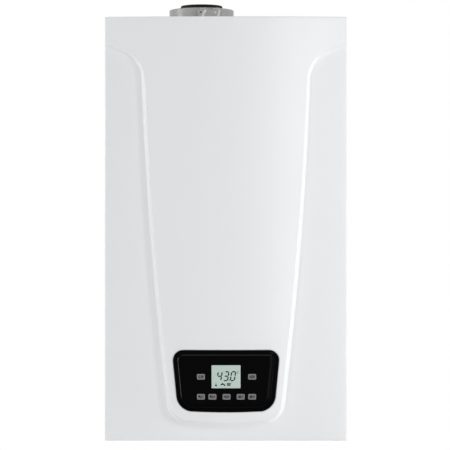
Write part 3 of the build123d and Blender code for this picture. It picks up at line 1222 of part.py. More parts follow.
NODES = {
    "wall_bracket": wall_bracket,
    "back_panel": back_panel,
    "side_panel_left": lambda: side_panel(-1),
    "side_panel_right": lambda: side_panel(1),
    "top_panel": top_panel,
    "bottom_tray": bottom_tray,
    "casing_screws": casing_screws,
    "front_cover": front_cover,
    "front_cover_seal": front_cover_seal,
    "cover_screws": cover_screws,
    "flue_collar": flue_collar,
    "flue_outer_seal": flue_outer_seal,
    "flue_inner_socket": flue_inner_socket,
    "flue_inner_seal": flue_inner_seal,
    "sampling_plugs": sampling_plugs,
    "exhaust_duct": exhaust_duct,
    "heat_exchanger_shell": heat_exchanger_shell,
    "heat_exchanger_coil": heat_exchanger_coil,
    "burner_door": burner_door,
    "burner_door_nuts": burner_door_nuts,
    "burner_tube": burner_tube,
    "ignition_electrode": ignition_electrode,
    "fan_housing": fan_housing,
    "fan_impeller": fan_impeller,
    "fan_motor": fan_motor,
    "gas_air_venturi": gas_air_venturi,
    "air_intake_duct": air_intake_duct,
    "gas_valve": gas_valve,
    "gas_pipe": gas_pipe,
    "wide_pipe_tails": lambda: tails(WIDE_TAIL_R),
    "narrow_pipe_tails": lambda: tails(NARROW_TAIL_R),
    "diverter_block": diverter_block,
    "diverter_stem": diverter_stem,
    "diverter_motor": diverter_motor,
    "pump_body": pump_body,
    "pump_impeller": pump_impeller,
    "pump_motor": pump_motor,
    "flow_turbine": flow_turbine,
    "plate_heat_exchanger": plate_heat_exchanger,
    "expansion_vessel": expansion_vessel,
    "vessel_hose": vessel_hose,
    "flow_pipe": flow_pipe,
    "return_pipe": return_pipe,
    "condensate_trap": condensate_trap,
    "condensate_hose": condensate_hose,
    "safety_valve": safety_valve,
    "safety_valve_knob": safety_valve_knob,
    "control_box": control_box,
    "control_box_lid": control_box_lid,
    "control_fascia": control_fascia,
    "circuit_board": circuit_board,
    "display_board": display_board,
    "display_window": display_window,
}

os.makedirs("parts", exist_ok=True)
for name, make in NODES.items():
    export_step(make(), f"parts/{name}.step")
for name, (x, z) in key_places().items():
    export_step(key(x, z), f"parts/{name}.step")
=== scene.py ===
# %% [markdown]
# # A wall-hung combi boiler
# The boiler is a white enamelled case with a bowed, raised shield on its front cover, a black
# gloss fascia with a small display and seven keys, and a grey flue collar on top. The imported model
# gives every piece's place, so this lesson starts by loading it and never moves what it brings.

# %% Load the frame
import json
import bmesh
import bpy
import numpy as np
from math import cos, pi, radians, sin, tan
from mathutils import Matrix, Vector


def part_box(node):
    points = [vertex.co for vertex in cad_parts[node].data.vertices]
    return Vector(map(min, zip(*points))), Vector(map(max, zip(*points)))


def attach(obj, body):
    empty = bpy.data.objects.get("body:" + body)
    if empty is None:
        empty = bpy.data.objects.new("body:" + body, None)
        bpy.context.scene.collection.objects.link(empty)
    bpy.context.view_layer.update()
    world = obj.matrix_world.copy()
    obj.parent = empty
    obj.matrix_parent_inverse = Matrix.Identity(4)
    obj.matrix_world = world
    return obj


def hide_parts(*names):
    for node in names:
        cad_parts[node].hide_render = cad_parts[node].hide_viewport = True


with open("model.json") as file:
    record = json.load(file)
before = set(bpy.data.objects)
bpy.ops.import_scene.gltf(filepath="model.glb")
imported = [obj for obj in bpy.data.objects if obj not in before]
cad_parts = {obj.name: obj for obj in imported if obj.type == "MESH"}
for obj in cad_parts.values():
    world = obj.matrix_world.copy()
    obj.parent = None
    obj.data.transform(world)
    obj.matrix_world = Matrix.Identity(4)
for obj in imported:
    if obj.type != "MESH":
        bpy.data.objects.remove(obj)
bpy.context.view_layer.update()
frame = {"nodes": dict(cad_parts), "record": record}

nodes = frame["nodes"]

# %% [markdown]
# ## Making a mesh from whole arrays
# Nearly every new piece here is a grid of points worked out at once with numpy. A grid that
# closes on itself in one direction makes a tube, and in both a ring. Sizes are written in
# millimetres, as on a drawing, and turned into metres only when the mesh is made.

# %% Grid helpers
MM = 0.001
WELD = 0.01 * MM
SMOOTH_ANGLE = radians(35)


def grid_faces(nu, nv, close_u, close_v):
    """Quads over a grid of nu by nv points, joined back to the start where it closes."""
    u = np.arange(nu if close_u else nu - 1)
    v = np.arange(nv if close_v else nv - 1)
    i, j = np.meshgrid(u, v, indexing="ij")
    i2, j2 = (i + 1) % nu, (j + 1) % nv
    quads = np.stack([i * nv + j, i2 * nv + j, i2 * nv + j2, i * nv + j2], axis=-1)
    return quads.reshape(-1, 4)


def smooth_faces(piece):
    """Smooths the shading over all but the sharp edges."""
    piece.data.shade_smooth()
    piece.data.set_sharp_from_angle(angle=SMOOTH_ANGLE)


def finish_mesh(piece):
    """Welds doubles, points the faces outwards and smooths what isn't sharp."""
    bm = bmesh.new()
    bm.from_mesh(piece.data)
    bmesh.ops.remove_doubles(bm, verts=bm.verts, dist=WELD)
    bmesh.ops.recalc_face_normals(bm, faces=bm.faces)
    bm.to_mesh(piece.data)
    bm.free()
    smooth_faces(piece)


def mesh_object(name, points, faces):
    """An object in the scene, from points in millimetres and the faces between them."""
    mesh = bpy.data.meshes.new(name)
    metres = np.asarray(points).reshape(-1, 3) * MM
    mesh.from_pydata(metres.tolist(), [], [list(f) for f in faces])
    mesh.validate()
    thing = bpy.data.objects.new(name, mesh)
    bpy.context.scene.collection.objects.link(thing)
    finish_mesh(thing)
    return thing


def make_piece(name, points, faces, body):
    """A visible piece that rides on a body."""
    piece = mesh_object(name, points, faces)
    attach(piece, body)
    return piece


def make_grid(name, points, body, close_u=False, close_v=False, caps=False):
    """A grid piece; caps fills its first and last rows with one face each."""
    nu, nv = points.shape[:2]
    faces = [list(f) for f in grid_faces(nu, nv, close_u, close_v)]
    if caps:
        faces.append(list(range(nv))[::-1])
        faces.append([(nu - 1) * nv + j for j in range(nv)])
    return make_piece(name, points, faces, body)


def bake_modifiers(piece):
    """Writes what the modifiers make into the piece's own mesh."""
    graph = bpy.context.evaluated_depsgraph_get()
    mesh = bpy.data.meshes.new_from_object(piece.evaluated_get(graph))
    piece.modifiers.clear()
    piece.data = mesh


def cut(piece, cutter):
    """Takes a cutter's solid out of a piece and throws the cutter away."""
    bpy.context.view_layer.update()
    modifier = piece.modifiers.new("cut", "BOOLEAN")
    modifier.operation = "DIFFERENCE"
    modifier.solver = "EXACT"
    modifier.object = cutter
    bake_modifiers(piece)
    bpy.data.objects.remove(cutter)


def prism(name, outline, y0, y1):
    """A plain solid with an outline in X and Z, from depth y0 to y1."""
    n = len(outline)
    rows = [np.column_stack([outline[:, 0], np.full(n, y), outline[:, 1]]) for y in (y0, y1)]
    faces = [list(f) for f in grid_faces(2, n, False, True)]
    faces += [list(range(n))[::-1], list(range(n, 2 * n))]
    return mesh_object(name, np.concatenate(rows), faces)


# %% [markdown]
# ## Finishes
# Each finish is a material of its own: a Principled surface, with noise on object coordinates for
# the slight unevenness that a real coat, moulding or rolled sheet has. Pieces with the same coat
# on the real boiler share one finish, so that the coat is right everywhere when it is right once.

# %% Material helpers
SLOT_COLOUR = {m["slot"]: m["base_color"] for m in frame["record"]["materials"]}
NOISE_SPAN = (0.3, 0.7)


def new_material(name, colour, roughness, metallic=0.0, coat=0.0):
    """A Principled material and its nodes."""
    material = bpy.data.materials.new(name)
    material.use_nodes = True
    tree = material.node_tree
    surface = tree.nodes["Principled BSDF"]
    surface.inputs["Base Color"].default_value = (*colour[:3], 1.0)
    surface.inputs["Roughness"].default_value = roughness
    surface.inputs["Metallic"].default_value = metallic
    surface.inputs["Coat Weight"].default_value = coat
    surface.inputs["Coat Roughness"].default_value = 0.08
    return material, tree, surface


def add_noise(tree, scale, detail=3.0, stretch=(1, 1, 1)):
    """Noise on object coordinates, so that it stays on the piece wherever the piece goes."""
    place = tree.nodes.new("ShaderNodeTexCoord")
    mapping = tree.nodes.new("ShaderNodeMapping")
    mapping.inputs["Scale"].default_value = stretch
    noise = tree.nodes.new("ShaderNodeTexNoise")
    noise.inputs["Scale"].default_value = scale
    noise.inputs["Detail"].default_value = detail
    tree.links.new(place.outputs["Object"], mapping.inputs["Vector"])
    tree.links.new(mapping.outputs["Vector"], noise.inputs["Vector"])
    return noise.outputs["Fac"]


def vary(tree, factor, target, low, high):
    """Spreads a noise between two values on a socket."""
    ramp = tree.nodes.new("ShaderNodeMapRange")
    ramp.inputs["From Min"].default_value, ramp.inputs["From Max"].default_value = NOISE_SPAN
    ramp.inputs["To Min"].default_value = low
    ramp.inputs["To Max"].default_value = high
    tree.links.new(factor, ramp.inputs["Value"])
    tree.links.new(ramp.outputs["Result"], target)


def vary_colour(tree, factor, surface, colour, spread):
    """Lightens and darkens the base colour a little with a noise."""
    ramp = tree.nodes.new("ShaderNodeValToRGB")
    dark, light = ramp.color_ramp.elements
    dark.position, light.position = NOISE_SPAN
    dark.color = (*[c * (1 - spread) for c in colour[:3]], 1)
    light.color = (*[min(1, c * (1 + spread)) for c in colour[:3]], 1)
    tree.links.new(factor, ramp.inputs["Fac"])
    tree.links.new(ramp.outputs["Color"], surface.inputs["Base Color"])


def add_bump(tree, factor, surface, distance, strength=1.0):
    """Raises the surface by a noise, in metres."""
    bump = tree.nodes.new("ShaderNodeBump")
    bump.inputs["Distance"].default_value = distance
    bump.inputs["Strength"].default_value = strength
    tree.links.new(factor, bump.inputs["Height"])
    tree.links.new(bump.outputs["Normal"], surface.inputs["Normal"])


def finish_from_slot(slot, roughness, metallic=0.0, coat=0.0, grain=180.0, spread=0.06,
                     bump=0.00003, stretch=(1, 1, 1), shade=1.0):
    """A slot's colour, darkened by shade, with fine grain in its colour, gloss and surface."""
    colour = (*[c * shade for c in SLOT_COLOUR[slot][:3]], 1.0)
    material, tree, surface = new_material(slot, colour, roughness, metallic, coat)
    fine = add_noise(tree, grain, stretch=stretch)
    vary(tree, fine, surface.inputs["Roughness"], roughness * 0.85, min(1, roughness * 1.15))
    vary_colour(tree, fine, surface, colour, spread)
    add_bump(tree, fine, surface, bump)
    return material


# %% The finishes
# Tones of a key: how far in from its edge each one stands, as a share of the reach in millimetres,
# and how bright it is. The first, darkest tone, on the cap's wall below its edge, is painted shade
# of the gap round the key.
KEY_TONES_WITH_GAP_SHADE = ((0.10, 0.1), (0.16, 1.45), (0.34, 1.35), (0.50, 0.66))
KEY_TONE_REACH = 3.0


def white_enamel():
    """Baked white powder coat: smooth gloss with the faintest orange peel."""
    colour = SLOT_COLOUR["white_enamel"]
    material, tree, surface = new_material("white_enamel", colour, 0.32, coat=0.25)
    surface.inputs["Coat Roughness"].default_value = 0.15
    peel = add_noise(tree, 420.0, detail=1.0)
    patches = add_noise(tree, 9.0)
    vary(tree, patches, surface.inputs["Roughness"], 0.30, 0.36)
    add_bump(tree, peel, surface, 0.00002, 0.35)
    return material


def fascia_black(name, gloss):
    """Polished black moulding; gloss is the share of light that it mirrors."""
    material, tree, surface = new_material(name, (0.0016, 0.0016, 0.002), 0.09)
    surface.inputs["Specular IOR Level"].default_value = gloss
    patches = add_noise(tree, 30.0)
    vary(tree, patches, surface.inputs["Roughness"], 0.07, 0.11)
    return material


def seal_rubber():
    """Matte black rubber that hardly shines."""
    material, tree, surface = new_material("seal_rubber", (0.008, 0.008, 0.009), 0.7)
    surface.inputs["Specular IOR Level"].default_value = 0.15
    add_bump(tree, add_noise(tree, 250.0), surface, 0.00004)
    return material


def key_grey():
    """Satin grey moulding, paler towards the cap's edge, with painted shade on the wall below it."""
    colour = SLOT_COLOUR["key_grey"]
    material, tree, surface = new_material("key_grey", colour, 0.5)
    inset = tree.nodes.new("ShaderNodeAttribute")
    inset.attribute_name = "edge_inset"
    ramp = tree.nodes.new("ShaderNodeValToRGB")
    for place in (0.25, 0.35):
        ramp.color_ramp.elements.new(place)
    # The first tone, dark on the cap's wall, is painted shade of the gap round the key.
    for element, (place, share) in zip(ramp.color_ramp.elements, KEY_TONES_WITH_GAP_SHADE):
        element.position = place
        element.color = (*[c * share for c in colour[:3]], 1)
    scale = tree.nodes.new("ShaderNodeMapRange")
    scale.inputs["From Max"].default_value = KEY_TONE_REACH
    tree.links.new(inset.outputs["Fac"], scale.inputs["Value"])
    tree.links.new(scale.outputs["Result"], ramp.inputs["Fac"])
    tree.links.new(ramp.outputs["Color"], surface.inputs["Base Color"])
    grain = add_noise(tree, 900.0)
    vary(tree, grain, surface.inputs["Roughness"], 0.44, 0.56)
    add_bump(tree, grain, surface, 0.00003)
    return material


FINISH = {
    "white_enamel": white_enamel(),
    "fascia_black": fascia_black("fascia_black", 0.018),
    "fascia_facet": fascia_black("fascia_facet", 0.1),
    "zinc_sheet": finish_from_slot("zinc_sheet", 0.38, 1.0, grain=60.0, spread=0.1),
    "zinc_screw": finish_from_slot("zinc_screw", 0.30, 1.0, grain=500.0),
    "seal_rubber": seal_rubber(),
    "flue_plastic": finish_from_slot("flue_plastic", 0.42, spread=0.04, shade=0.8),
    "flue_sleeve": finish_from_slot("flue_sleeve", 0.4),
    "plug_plastic": finish_from_slot("plug_plastic", 0.4),
    "stainless": finish_from_slot("stainless", 0.28, 1.0, grain=90.0, stretch=(1, 12, 1)),
    "drum_composite": finish_from_slot("drum_composite", 0.5),
    "cast_aluminium": finish_from_slot("cast_aluminium", 0.52, 1.0, grain=700.0, bump=0.0001),
    "ceramic": finish_from_slot("ceramic", 0.25, coat=0.4),
    "black_plastic": finish_from_slot("black_plastic", 0.45, grain=900.0, bump=0.00006),
    "copper": finish_from_slot("copper", 0.3, 1.0, grain=40.0, spread=0.15),
    "brass": finish_from_slot("brass", 0.36, 1.0, grain=300.0),
    "block_composite": finish_from_slot("block_composite", 0.48, grain=600.0),
    "wheel_plastic": finish_from_slot("wheel_plastic", 0.4),
    "vessel_red": finish_from_slot("vessel_red", 0.38, coat=0.2),
    "hose_rubber": finish_from_slot("hose_rubber", 0.6),
    "knob_red": finish_from_slot("knob_red", 0.28, coat=0.3),
    "box_plastic": finish_from_slot("box_plastic", 0.55, grain=1200.0, bump=0.00008),
    "board_green": finish_from_slot("board_green", 0.32, coat=0.3),
    "display_glass": finish_from_slot("display_glass", 0.2, coat=0.5, spread=0.01),
    "key_grey": key_grey(),
}

for part in frame["record"]["subparts"]:
    slots = nodes[part["node"]].data.materials
    slots.clear()
    slots.append(FINISH[part["material_slot"]])
print("finishes", len(FINISH))


def paint(piece, slot):
    """Gives a whole piece one finish."""
    piece.data.materials.clear()
    piece.data.materials.append(FINISH[slot])


# %% [markdown]
# ## The front cover
# The cover is one pressed steel sheet: a pan whose front carries a wide bowed shield, a step of
# about ten millimetres round it that fades out towards the case's sides, flat fields left and
# right, and walls that turn back to the chassis. A sculpted mesh could do it, but the whole front
# is really one height for each place on it: the flat field, or the bowed shield, blended across
# the step by the distance to the shield's edge.

# %% The case's own sizes
cover_low, cover_high = [np.array(corner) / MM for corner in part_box("front_cover")]
HALF, COVER_BACK_Y, CASE_TOP = cover_high
CASE_BOTTOM = cover_low[2]
FACE_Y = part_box("control_fascia")[0][1] / MM
CREST_Y = FACE_Y + 2.0
SHIELD_BOW = 11.0
SIDE_STEP = 2.0
FIELD_Y = CREST_Y + SHIELD_BOW + SIDE_STEP
STEP_LEAN, FADED_LEAN = radians(29), radians(64)
STEP_SOFT = 0.4
FADE_X = 166.0
ROLL = 1.4
SHEET = 1.0
COVER_RETURN = 10.0
SHOULDER_X, SHOULDER_Z = 139.7, CASE_TOP - 67.0
SHOULDER_SLOPE, SHOULDER_RADIUS = radians(16.5), 50.0
FOOT_X, FOOT_Z, FOOT_RISE, FOOT_RADIUS = 93.5, CASE_BOTTOM + 24.0, 9.0, 34.0
SIDE_BULGE = 6.8
print("case", np.round(2 * HALF, 1), "by", np.round(CASE_TOP - CASE_BOTTOM, 1), "mm")


def fillet_corner(before, corner, after, radius, steps=24):
    """Points of the arc that rounds a corner between two straight neighbours."""
    a, c, b = (np.array(p, float) for p in (before, corner, after))
    u, v = (a - c) / np.linalg.norm(a - c), (b - c) / np.linalg.norm(b - c)
    half = np.arccos(np.clip(u @ v, -1, 1)) / 2
    middle = c + (u + v) / np.linalg.norm(u + v) * radius / sin(half)
    start = np.arctan2(*(c + u * radius / tan(half) - middle)[::-1])
    turn = np.arctan2(*(c + v * radius / tan(half) - middle)[::-1]) - start
    turn = (turn + pi) % (2 * pi) - pi
    angle = start + turn * np.linspace(0, 1, steps)
    return middle + radius * np.column_stack([np.cos(angle), np.sin(angle)])


def shield_edge():
    """The shield's edge on the right, from its foot's middle to beyond the case's side."""
    foot_x = np.linspace(0, FOOT_X - 4, 24)
    foot = np.column_stack([foot_x, FOOT_Z + FOOT_RISE * (foot_x / FOOT_X) ** 2])
    t = np.linspace(0.02, 0.98, 120)
    side_x = FOOT_X + (SHOULDER_X - FOOT_X) * t + SIDE_BULGE * 4 * t * (1 - t)
    foot_end = FOOT_Z + FOOT_RISE
    side = np.column_stack([side_x, foot_end + (SHOULDER_Z - foot_end) * t])
    far_x = HALF + 60
    far = np.array([far_x, SHOULDER_Z + (far_x - SHOULDER_X) * tan(SHOULDER_SLOPE)])
    low_arc = fillet_corner(foot[-2], (FOOT_X, foot_end), side[8], FOOT_RADIUS)
    high_arc = fillet_corner(side[-8], (SHOULDER_X, SHOULDER_Z), far, SHOULDER_RADIUS)
    foot = foot[foot[:, 0] < low_arc[0, 0]]
    side = side[(side[:, 1] > low_arc[-1, 1]) & (side[:, 1] < high_arc[0, 1])]
    return np.concatenate([foot, low_arc, side, high_arc, [far]])


def inside_distance(x, z, edge):
    """How far a place is inside the shield's edge, in millimetres; outside is negative."""
    p = np.column_stack([np.abs(x).ravel(), z.ravel()])
    a, b = edge[:-1], edge[1:]
    along = b - a
    length2 = (along ** 2).sum(1)
    best = np.full(len(p), 1e9)
    sign = np.ones(len(p))
    for k in range(len(a)):
        t = np.clip(((p - a[k]) @ along[k]) / length2[k], 0, 1)
        gap = p - (a[k] + t[:, None] * along[k])
        d = np.hypot(gap[:, 0], gap[:, 1])
        nearer = d < best - 1e-9
        side = along[k, 0] * gap[:, 1] - along[k, 1] * gap[:, 0]
        best = np.where(nearer, d, best)
        sign = np.where(nearer, np.sign(side), sign)
    return (best * sign).reshape(x.shape)


def soft_min(a, b, soft):
    """The smaller of two heights, rounded over where they cross."""
    return -soft * np.logaddexp(-a / soft, -b / soft)


def front_depth(x, z, edge):
    """Y of the cover's front at a place: field, step and bowed shield in one formula.

    The step leans ever flatter from the shoulder to the case's side, where it fades out.
    """
    rise = SHIELD_BOW * (1 - (x / HALF) ** 2) + SIDE_STEP
    d = inside_distance(x, z, edge)
    fade = np.clip((np.abs(x) - FADE_X) / (HALF - FADE_X), 0, 1)
    lean = STEP_LEAN + (FADED_LEAN - STEP_LEAN) * fade
    slope = STEP_SOFT * np.logaddexp(0, d / np.tan(lean) / STEP_SOFT)
    return FIELD_Y - np.maximum(soft_min(slope, rise, STEP_SOFT * 0.6), 0)


# %% The cover's grid
def spaced(start, end, step):
    """Evenly spaced values from start to end, about a step apart, without the end."""
    return np.linspace(start, end, max(2, round(abs(end - start) / step)), endpoint=False)


EDGE = shield_edge()

# Rows lie close together where the step runs across them, and wide apart elsewhere.
FOOT_BAND = (FOOT_Z - 4, FOOT_Z + 36)
SHOULDER_BAND = (SHOULDER_Z - 40, SHOULDER_Z + 34)
rows = np.concatenate([
    spaced(CASE_BOTTOM + ROLL, FOOT_BAND[0], 4), spaced(*FOOT_BAND, 0.9),
    spaced(FOOT_BAND[1], SHOULDER_BAND[0], 7), spaced(*SHOULDER_BAND, 1.0),
    spaced(SHOULDER_BAND[1], CASE_TOP - ROLL, 4), [CASE_TOP - ROLL]])

# Columns follow the step: few inside it, many across it, and some out to the case's side.
BEFORE_STEP, BEYOND_STEP = 12, 4
INSIDE_COLUMNS, STEP_COLUMNS, OUTSIDE_COLUMNS = 20, 32, 26
FOOT_POINTS, NARROWEST, WIDEST = 30, 60, SHOULDER_X + 6
above_foot = EDGE[FOOT_POINTS:-1]
side_x = np.interp(rows, above_foot[:, 1], above_foot[:, 0])
side_x = np.clip(side_x, NARROWEST, WIDEST)
share = np.concatenate([
    np.linspace(0, 1, INSIDE_COLUMNS, endpoint=False),
    1 + np.linspace(0, 1, STEP_COLUMNS, endpoint=False),
    2 + np.linspace(0, 1, OUTSIDE_COLUMNS)])
knots = np.column_stack([
    np.zeros(len(rows)), side_x - BEFORE_STEP, side_x + BEYOND_STEP,
    np.full(len(rows), HALF - ROLL)])
right = np.stack([np.interp(share, [0, 1, 2, 3], k) for k in knots])
x = np.concatenate([-right[:, :0:-1], right], axis=1).T
z = np.broadcast_to(rows, x.shape)
y = front_depth(x, z, EDGE)
print("front", x.shape, "points, depth", np.round([y.min(), y.max()], 2))

# %% The cover's walls
# The last columns and rows roll over the edge, run back, and turn in again behind.
ROLL_STEPS = 5
angle = np.linspace(0, pi / 2, ROLL_STEPS + 1)[1:]
wall_out = np.concatenate([ROLL * np.sin(angle), [ROLL, ROLL, ROLL - 0.6, ROLL - COVER_RETURN]])
wall_back = np.concatenate([np.zeros(ROLL_STEPS), [0.5, 0.97, 1.0, 1.0]])
roll_back = np.concatenate([ROLL * (1 - np.cos(angle)), np.full(4, ROLL)])
wall_rings = len(wall_out)
nu, nv = x.shape
iu = np.arange(-wall_rings, nu + wall_rings)
iv = np.arange(-wall_rings, nv + wall_rings)
over_u = np.where(iu < 0, iu, np.where(iu >= nu, iu - nu + 1, 0))[:, None]
over_v = np.where(iv < 0, iv, np.where(iv >= nv, iv - nv + 1, 0))[None, :]
ring = np.maximum(np.abs(over_u), np.abs(over_v))
length = np.hypot(over_u, over_v) + (ring == 0)
base = np.ix_(np.clip(iu, 0, nu - 1), np.clip(iv, 0, nv - 1))
out = np.concatenate([[0], wall_out])[ring]
rolled = np.concatenate([[0], roll_back])[ring]
back = np.concatenate([[0], wall_back])[ring]
front_y = y[base] + rolled
seal_y = COVER_BACK_Y - SHEET
cover_points = np.stack([
    x[base] + out * over_u / length,
    front_y + (seal_y - front_y) * back,
    z[base] + out * over_v / length], axis=-1)
print("walls", wall_rings, "rings beyond the front on every side")

# %% The cover's sheet
cover = make_grid("front_cover_shell", cover_points, "front_cover")
sheet = cover.modifiers.new("sheet", "SOLIDIFY")
sheet.thickness = SHEET * MM
sheet.offset = -1
sheet.use_even_offset = False
bpy.context.view_layer.update()
bake_modifiers(cover)
print("cover", len(cover.data.polygons), "faces")

# %% [markdown]
# ## The opening for the control panel
# The opening is punched through the sheet and its edge is rolled inwards. A cut alone would leave
# a sharp paper edge, so the sheet is cut a little wide and a rolled lip, carried along the panel's
# own outline, closes the ring.

# %% The panel's outline
PANEL_TOP_X, PANEL_FOOT_X = 88.1, 78.6
PANEL_TOP_Z = CASE_BOTTOM + 149.7
PANEL_FOOT_Z = PANEL_TOP_Z - 98.0
PANEL_SAG, PANEL_TOP_RADIUS, PANEL_FOOT_RADIUS = 3.0, 16.0, 27.0
PANEL_GAP = 0.8
LIP_DEPTH = 5.5
LIP_WIDTH = 3.0
LIP_ROLL = 1.3
LIP_LAP = 0.5


def resample(points, count):
    """Points evenly spaced by length along a closed outline."""
    closed = np.concatenate([points, points[:1]])
    run = np.concatenate([[0], np.cumsum(np.hypot(*np.diff(closed, axis=0).T))])
    at = np.linspace(0, run[-1], count, endpoint=False)
    return np.column_stack([np.interp(at, run, closed[:, 0]), np.interp(at, run, closed[:, 1])])


def outward(points):
    """Unit normals of a closed outline, pointing away from its middle."""
    along = np.roll(points, -1, axis=0) - np.roll(points, 1, axis=0)
    along /= np.hypot(along[:, 0], along[:, 1])[:, None]
    normal = np.column_stack([along[:, 1], -along[:, 0]])
    x, z = points.T
    spin = np.sum(x * np.roll(z, -1) - np.roll(x, -1) * z)
    return normal * np.sign(spin)


def mirror_outline(half):
    """The right half of an outline, from foot to top, joined to its mirror image."""
    left = half[::-1] * [-1, 1]
    return np.concatenate([half, left[left[:, 0] < -1e-6]])


def panel_outline(count=288):
    """A tapering panel: flat top, slanted sides, a foot that sags, and four round corners."""
    foot_x = np.linspace(0, PANEL_FOOT_X - 4, 20)
    foot_z = PANEL_FOOT_Z - PANEL_SAG * (1 - (foot_x / PANEL_FOOT_X) ** 2)
    foot = np.column_stack([foot_x, foot_z])
    low_corner, top_corner = (PANEL_FOOT_X, PANEL_FOOT_Z), (PANEL_TOP_X, PANEL_TOP_Z)
    low_arc = fillet_corner(foot[-1], low_corner, top_corner, PANEL_FOOT_RADIUS, 40)
    top_arc = fillet_corner(low_corner, top_corner, (0, PANEL_TOP_Z), PANEL_TOP_RADIUS, 30)
    half = np.concatenate([foot[foot[:, 0] < low_arc[0, 0]], low_arc, top_arc, [[0, PANEL_TOP_Z]]])
    return resample(mirror_outline(half), count)


def ring_stack(outline, profile):
    """Copies of an outline, each grown by a distance and set at a depth."""
    grow, depth = np.array(profile, float).T
    flat = outline[None] + grow[:, None, None] * outward(outline)[None]
    rings = np.empty((len(grow), len(outline), 3))
    rings[..., 0], rings[..., 2] = flat[..., 0], flat[..., 1]
    rings[..., 1] = depth[:, None]
    return rings


# %% Punching the opening
PANEL = panel_outline()
opening = ring_stack(PANEL, [(PANEL_GAP + LIP_WIDTH - LIP_LAP, 0)])[0][:, [0, 2]]
cut(cover, prism("cover_cutter", opening, FACE_Y - 8, CREST_Y + 20))
smooth_faces(cover)
paint(cover, "white_enamel")
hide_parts("front_cover")
print("opening", np.round(np.ptp(opening, axis=0), 1), "mm")

# %% The rolled lip
SKIN = 0.04
lip_profile = [(PANEL_GAP + LIP_WIDTH, 0.8), (PANEL_GAP + LIP_WIDTH, -SKIN / 2)]
lip_profile += [(PANEL_GAP + LIP_ROLL * (1 - sin(a)), LIP_ROLL * (1 - cos(a)) - SKIN)
                for a in np.linspace(0, pi / 2, 7)]
lip_profile += [(PANEL_GAP, LIP_DEPTH - 0.3), (PANEL_GAP + 0.3, LIP_DEPTH),
                (PANEL_GAP + SHEET, LIP_DEPTH), (PANEL_GAP + SHEET, 1.4)]
lip_points = ring_stack(PANEL, lip_profile)
lip_points[..., 1] += front_depth(lip_points[..., 0], lip_points[..., 2], EDGE)
lip = make_grid("cover_opening_lip", lip_points, "front_cover", True, True)
paint(lip, "white_enamel")
print("opening lip", len(lip.data.polygons), "faces")

# %% [markdown]
# ## The control panel
# The panel is one black moulding: a polished flat face, a border that slopes back from it, and a
# fine facet between the two that catches the light. It is made as rings of the same outline, so
# that the border keeps its width round every corner, and the openings for the display and the keys
# are then cut out of its flat face.

# %% The moulding
PANEL_BAND = 7.5
PANEL_WALL = 2.5
PANEL_EDGE = 0.9
BOX_FRONT_Y = FACE_Y + 18.0
EDGE_Y = CREST_Y
FLAT_IN = -PANEL_BAND - 8
FACET_IN, FACET_OUT = -PANEL_BAND - 0.3, -PANEL_BAND + 0.7
FACET_FALL = (FACET_OUT - FACET_IN) * tan(radians(24))
round_edge = [(-PANEL_EDGE * (1 - cos(a)), EDGE_Y + PANEL_EDGE - PANEL_EDGE * sin(a))
              for a in np.linspace(0, pi / 2, 6)]
panel_profile = [(FLAT_IN, FACE_Y), (FACET_IN, FACE_Y), (FACET_OUT, FACE_Y + FACET_FALL)]
panel_profile += round_edge[::-1]
panel_profile += [(0, BOX_FRONT_Y), (-PANEL_WALL, BOX_FRONT_Y),
                  (-PANEL_WALL, EDGE_Y + PANEL_WALL + 1), (-PANEL_BAND, EDGE_Y + PANEL_WALL),
                  (FLAT_IN, FACE_Y + PANEL_WALL + 0.4)]
panel = make_grid("control_panel", ring_stack(PANEL, panel_profile), "control_box",
                  False, True, caps=True)
print("moulding", len(panel.data.polygons), "faces")

# %% Places of the keys and the display
KEY_WIDTH, KEY_HEIGHT, KEY_RADIUS, KEY_GAP = 13.3, 9.5, 2.0, 0.35
KEY_TOP_Z, KEY_LOW_Z = PANEL_TOP_Z - 42.9, PANEL_TOP_Z - 75.8
KEY_FAR_X, KEY_NEAR_X, KEY_ASIDE = 42.1, 23.3, 0.9
SMALLEST_RADIUS = 0.2
DISPLAY_WIDTH, DISPLAY_HEIGHT, DISPLAY_RADIUS = 47.8, 38.0, 1.0
DISPLAY_FIT = 0.1
KEYS = {
    "button_reset": (-KEY_FAR_X, KEY_TOP_Z),
    "button_info": (KEY_FAR_X, KEY_TOP_Z),
    "button_hot_water_down": (-KEY_FAR_X, KEY_LOW_Z),
    "button_hot_water_up": (-KEY_NEAR_X, KEY_LOW_Z),
    "button_mode": (0, KEY_LOW_Z),
    "button_heating_down": (KEY_NEAR_X, KEY_LOW_Z),
    "button_heating_up": (KEY_FAR_X, KEY_LOW_Z),
}
KEYS = {name: (x + KEY_ASIDE, z) for name, (x, z) in KEYS.items()}


def rounded_rectangle(x, z, width, height, radius, steps=9):
    """The outline of a rectangle with round corners about a middle: four quarter circles."""
    turn = np.linspace(0, pi / 2, steps)
    start = np.array([-pi / 2, 0, pi / 2, pi])
    angle = (start[:, None] + turn).ravel()
    corner = np.repeat([[1, -1], [1, 1], [-1, 1], [-1, -1]], steps, axis=0)
    reach = np.array([width / 2 - radius, height / 2 - radius])
    return [x, z] + corner * reach + radius * np.column_stack([np.cos(angle), np.sin(angle)])


def rectangle_stack(x, z, width, height, radius, profile):
    """Rounded rectangles, each grown by a distance and set at a depth, point facing point."""
    rings = []
    for grow, depth in profile:
        corner = max(radius + grow, SMALLEST_RADIUS)
        flat = rounded_rectangle(x, z, width + 2 * grow, height + 2 * grow, corner)
        rings.append(np.column_stack([flat[:, 0], np.full(len(flat), depth), flat[:, 1]]))
    return np.array(rings)


# %% Punching the panel
def punch(x, z, width, height, radius):
    """Cuts a rounded rectangle through the panel's face."""
    hole = rounded_rectangle(x, z, width, height, radius)
    cut(panel, prism("panel_cutter", hole, FACE_Y - 1, BOX_FRONT_Y))


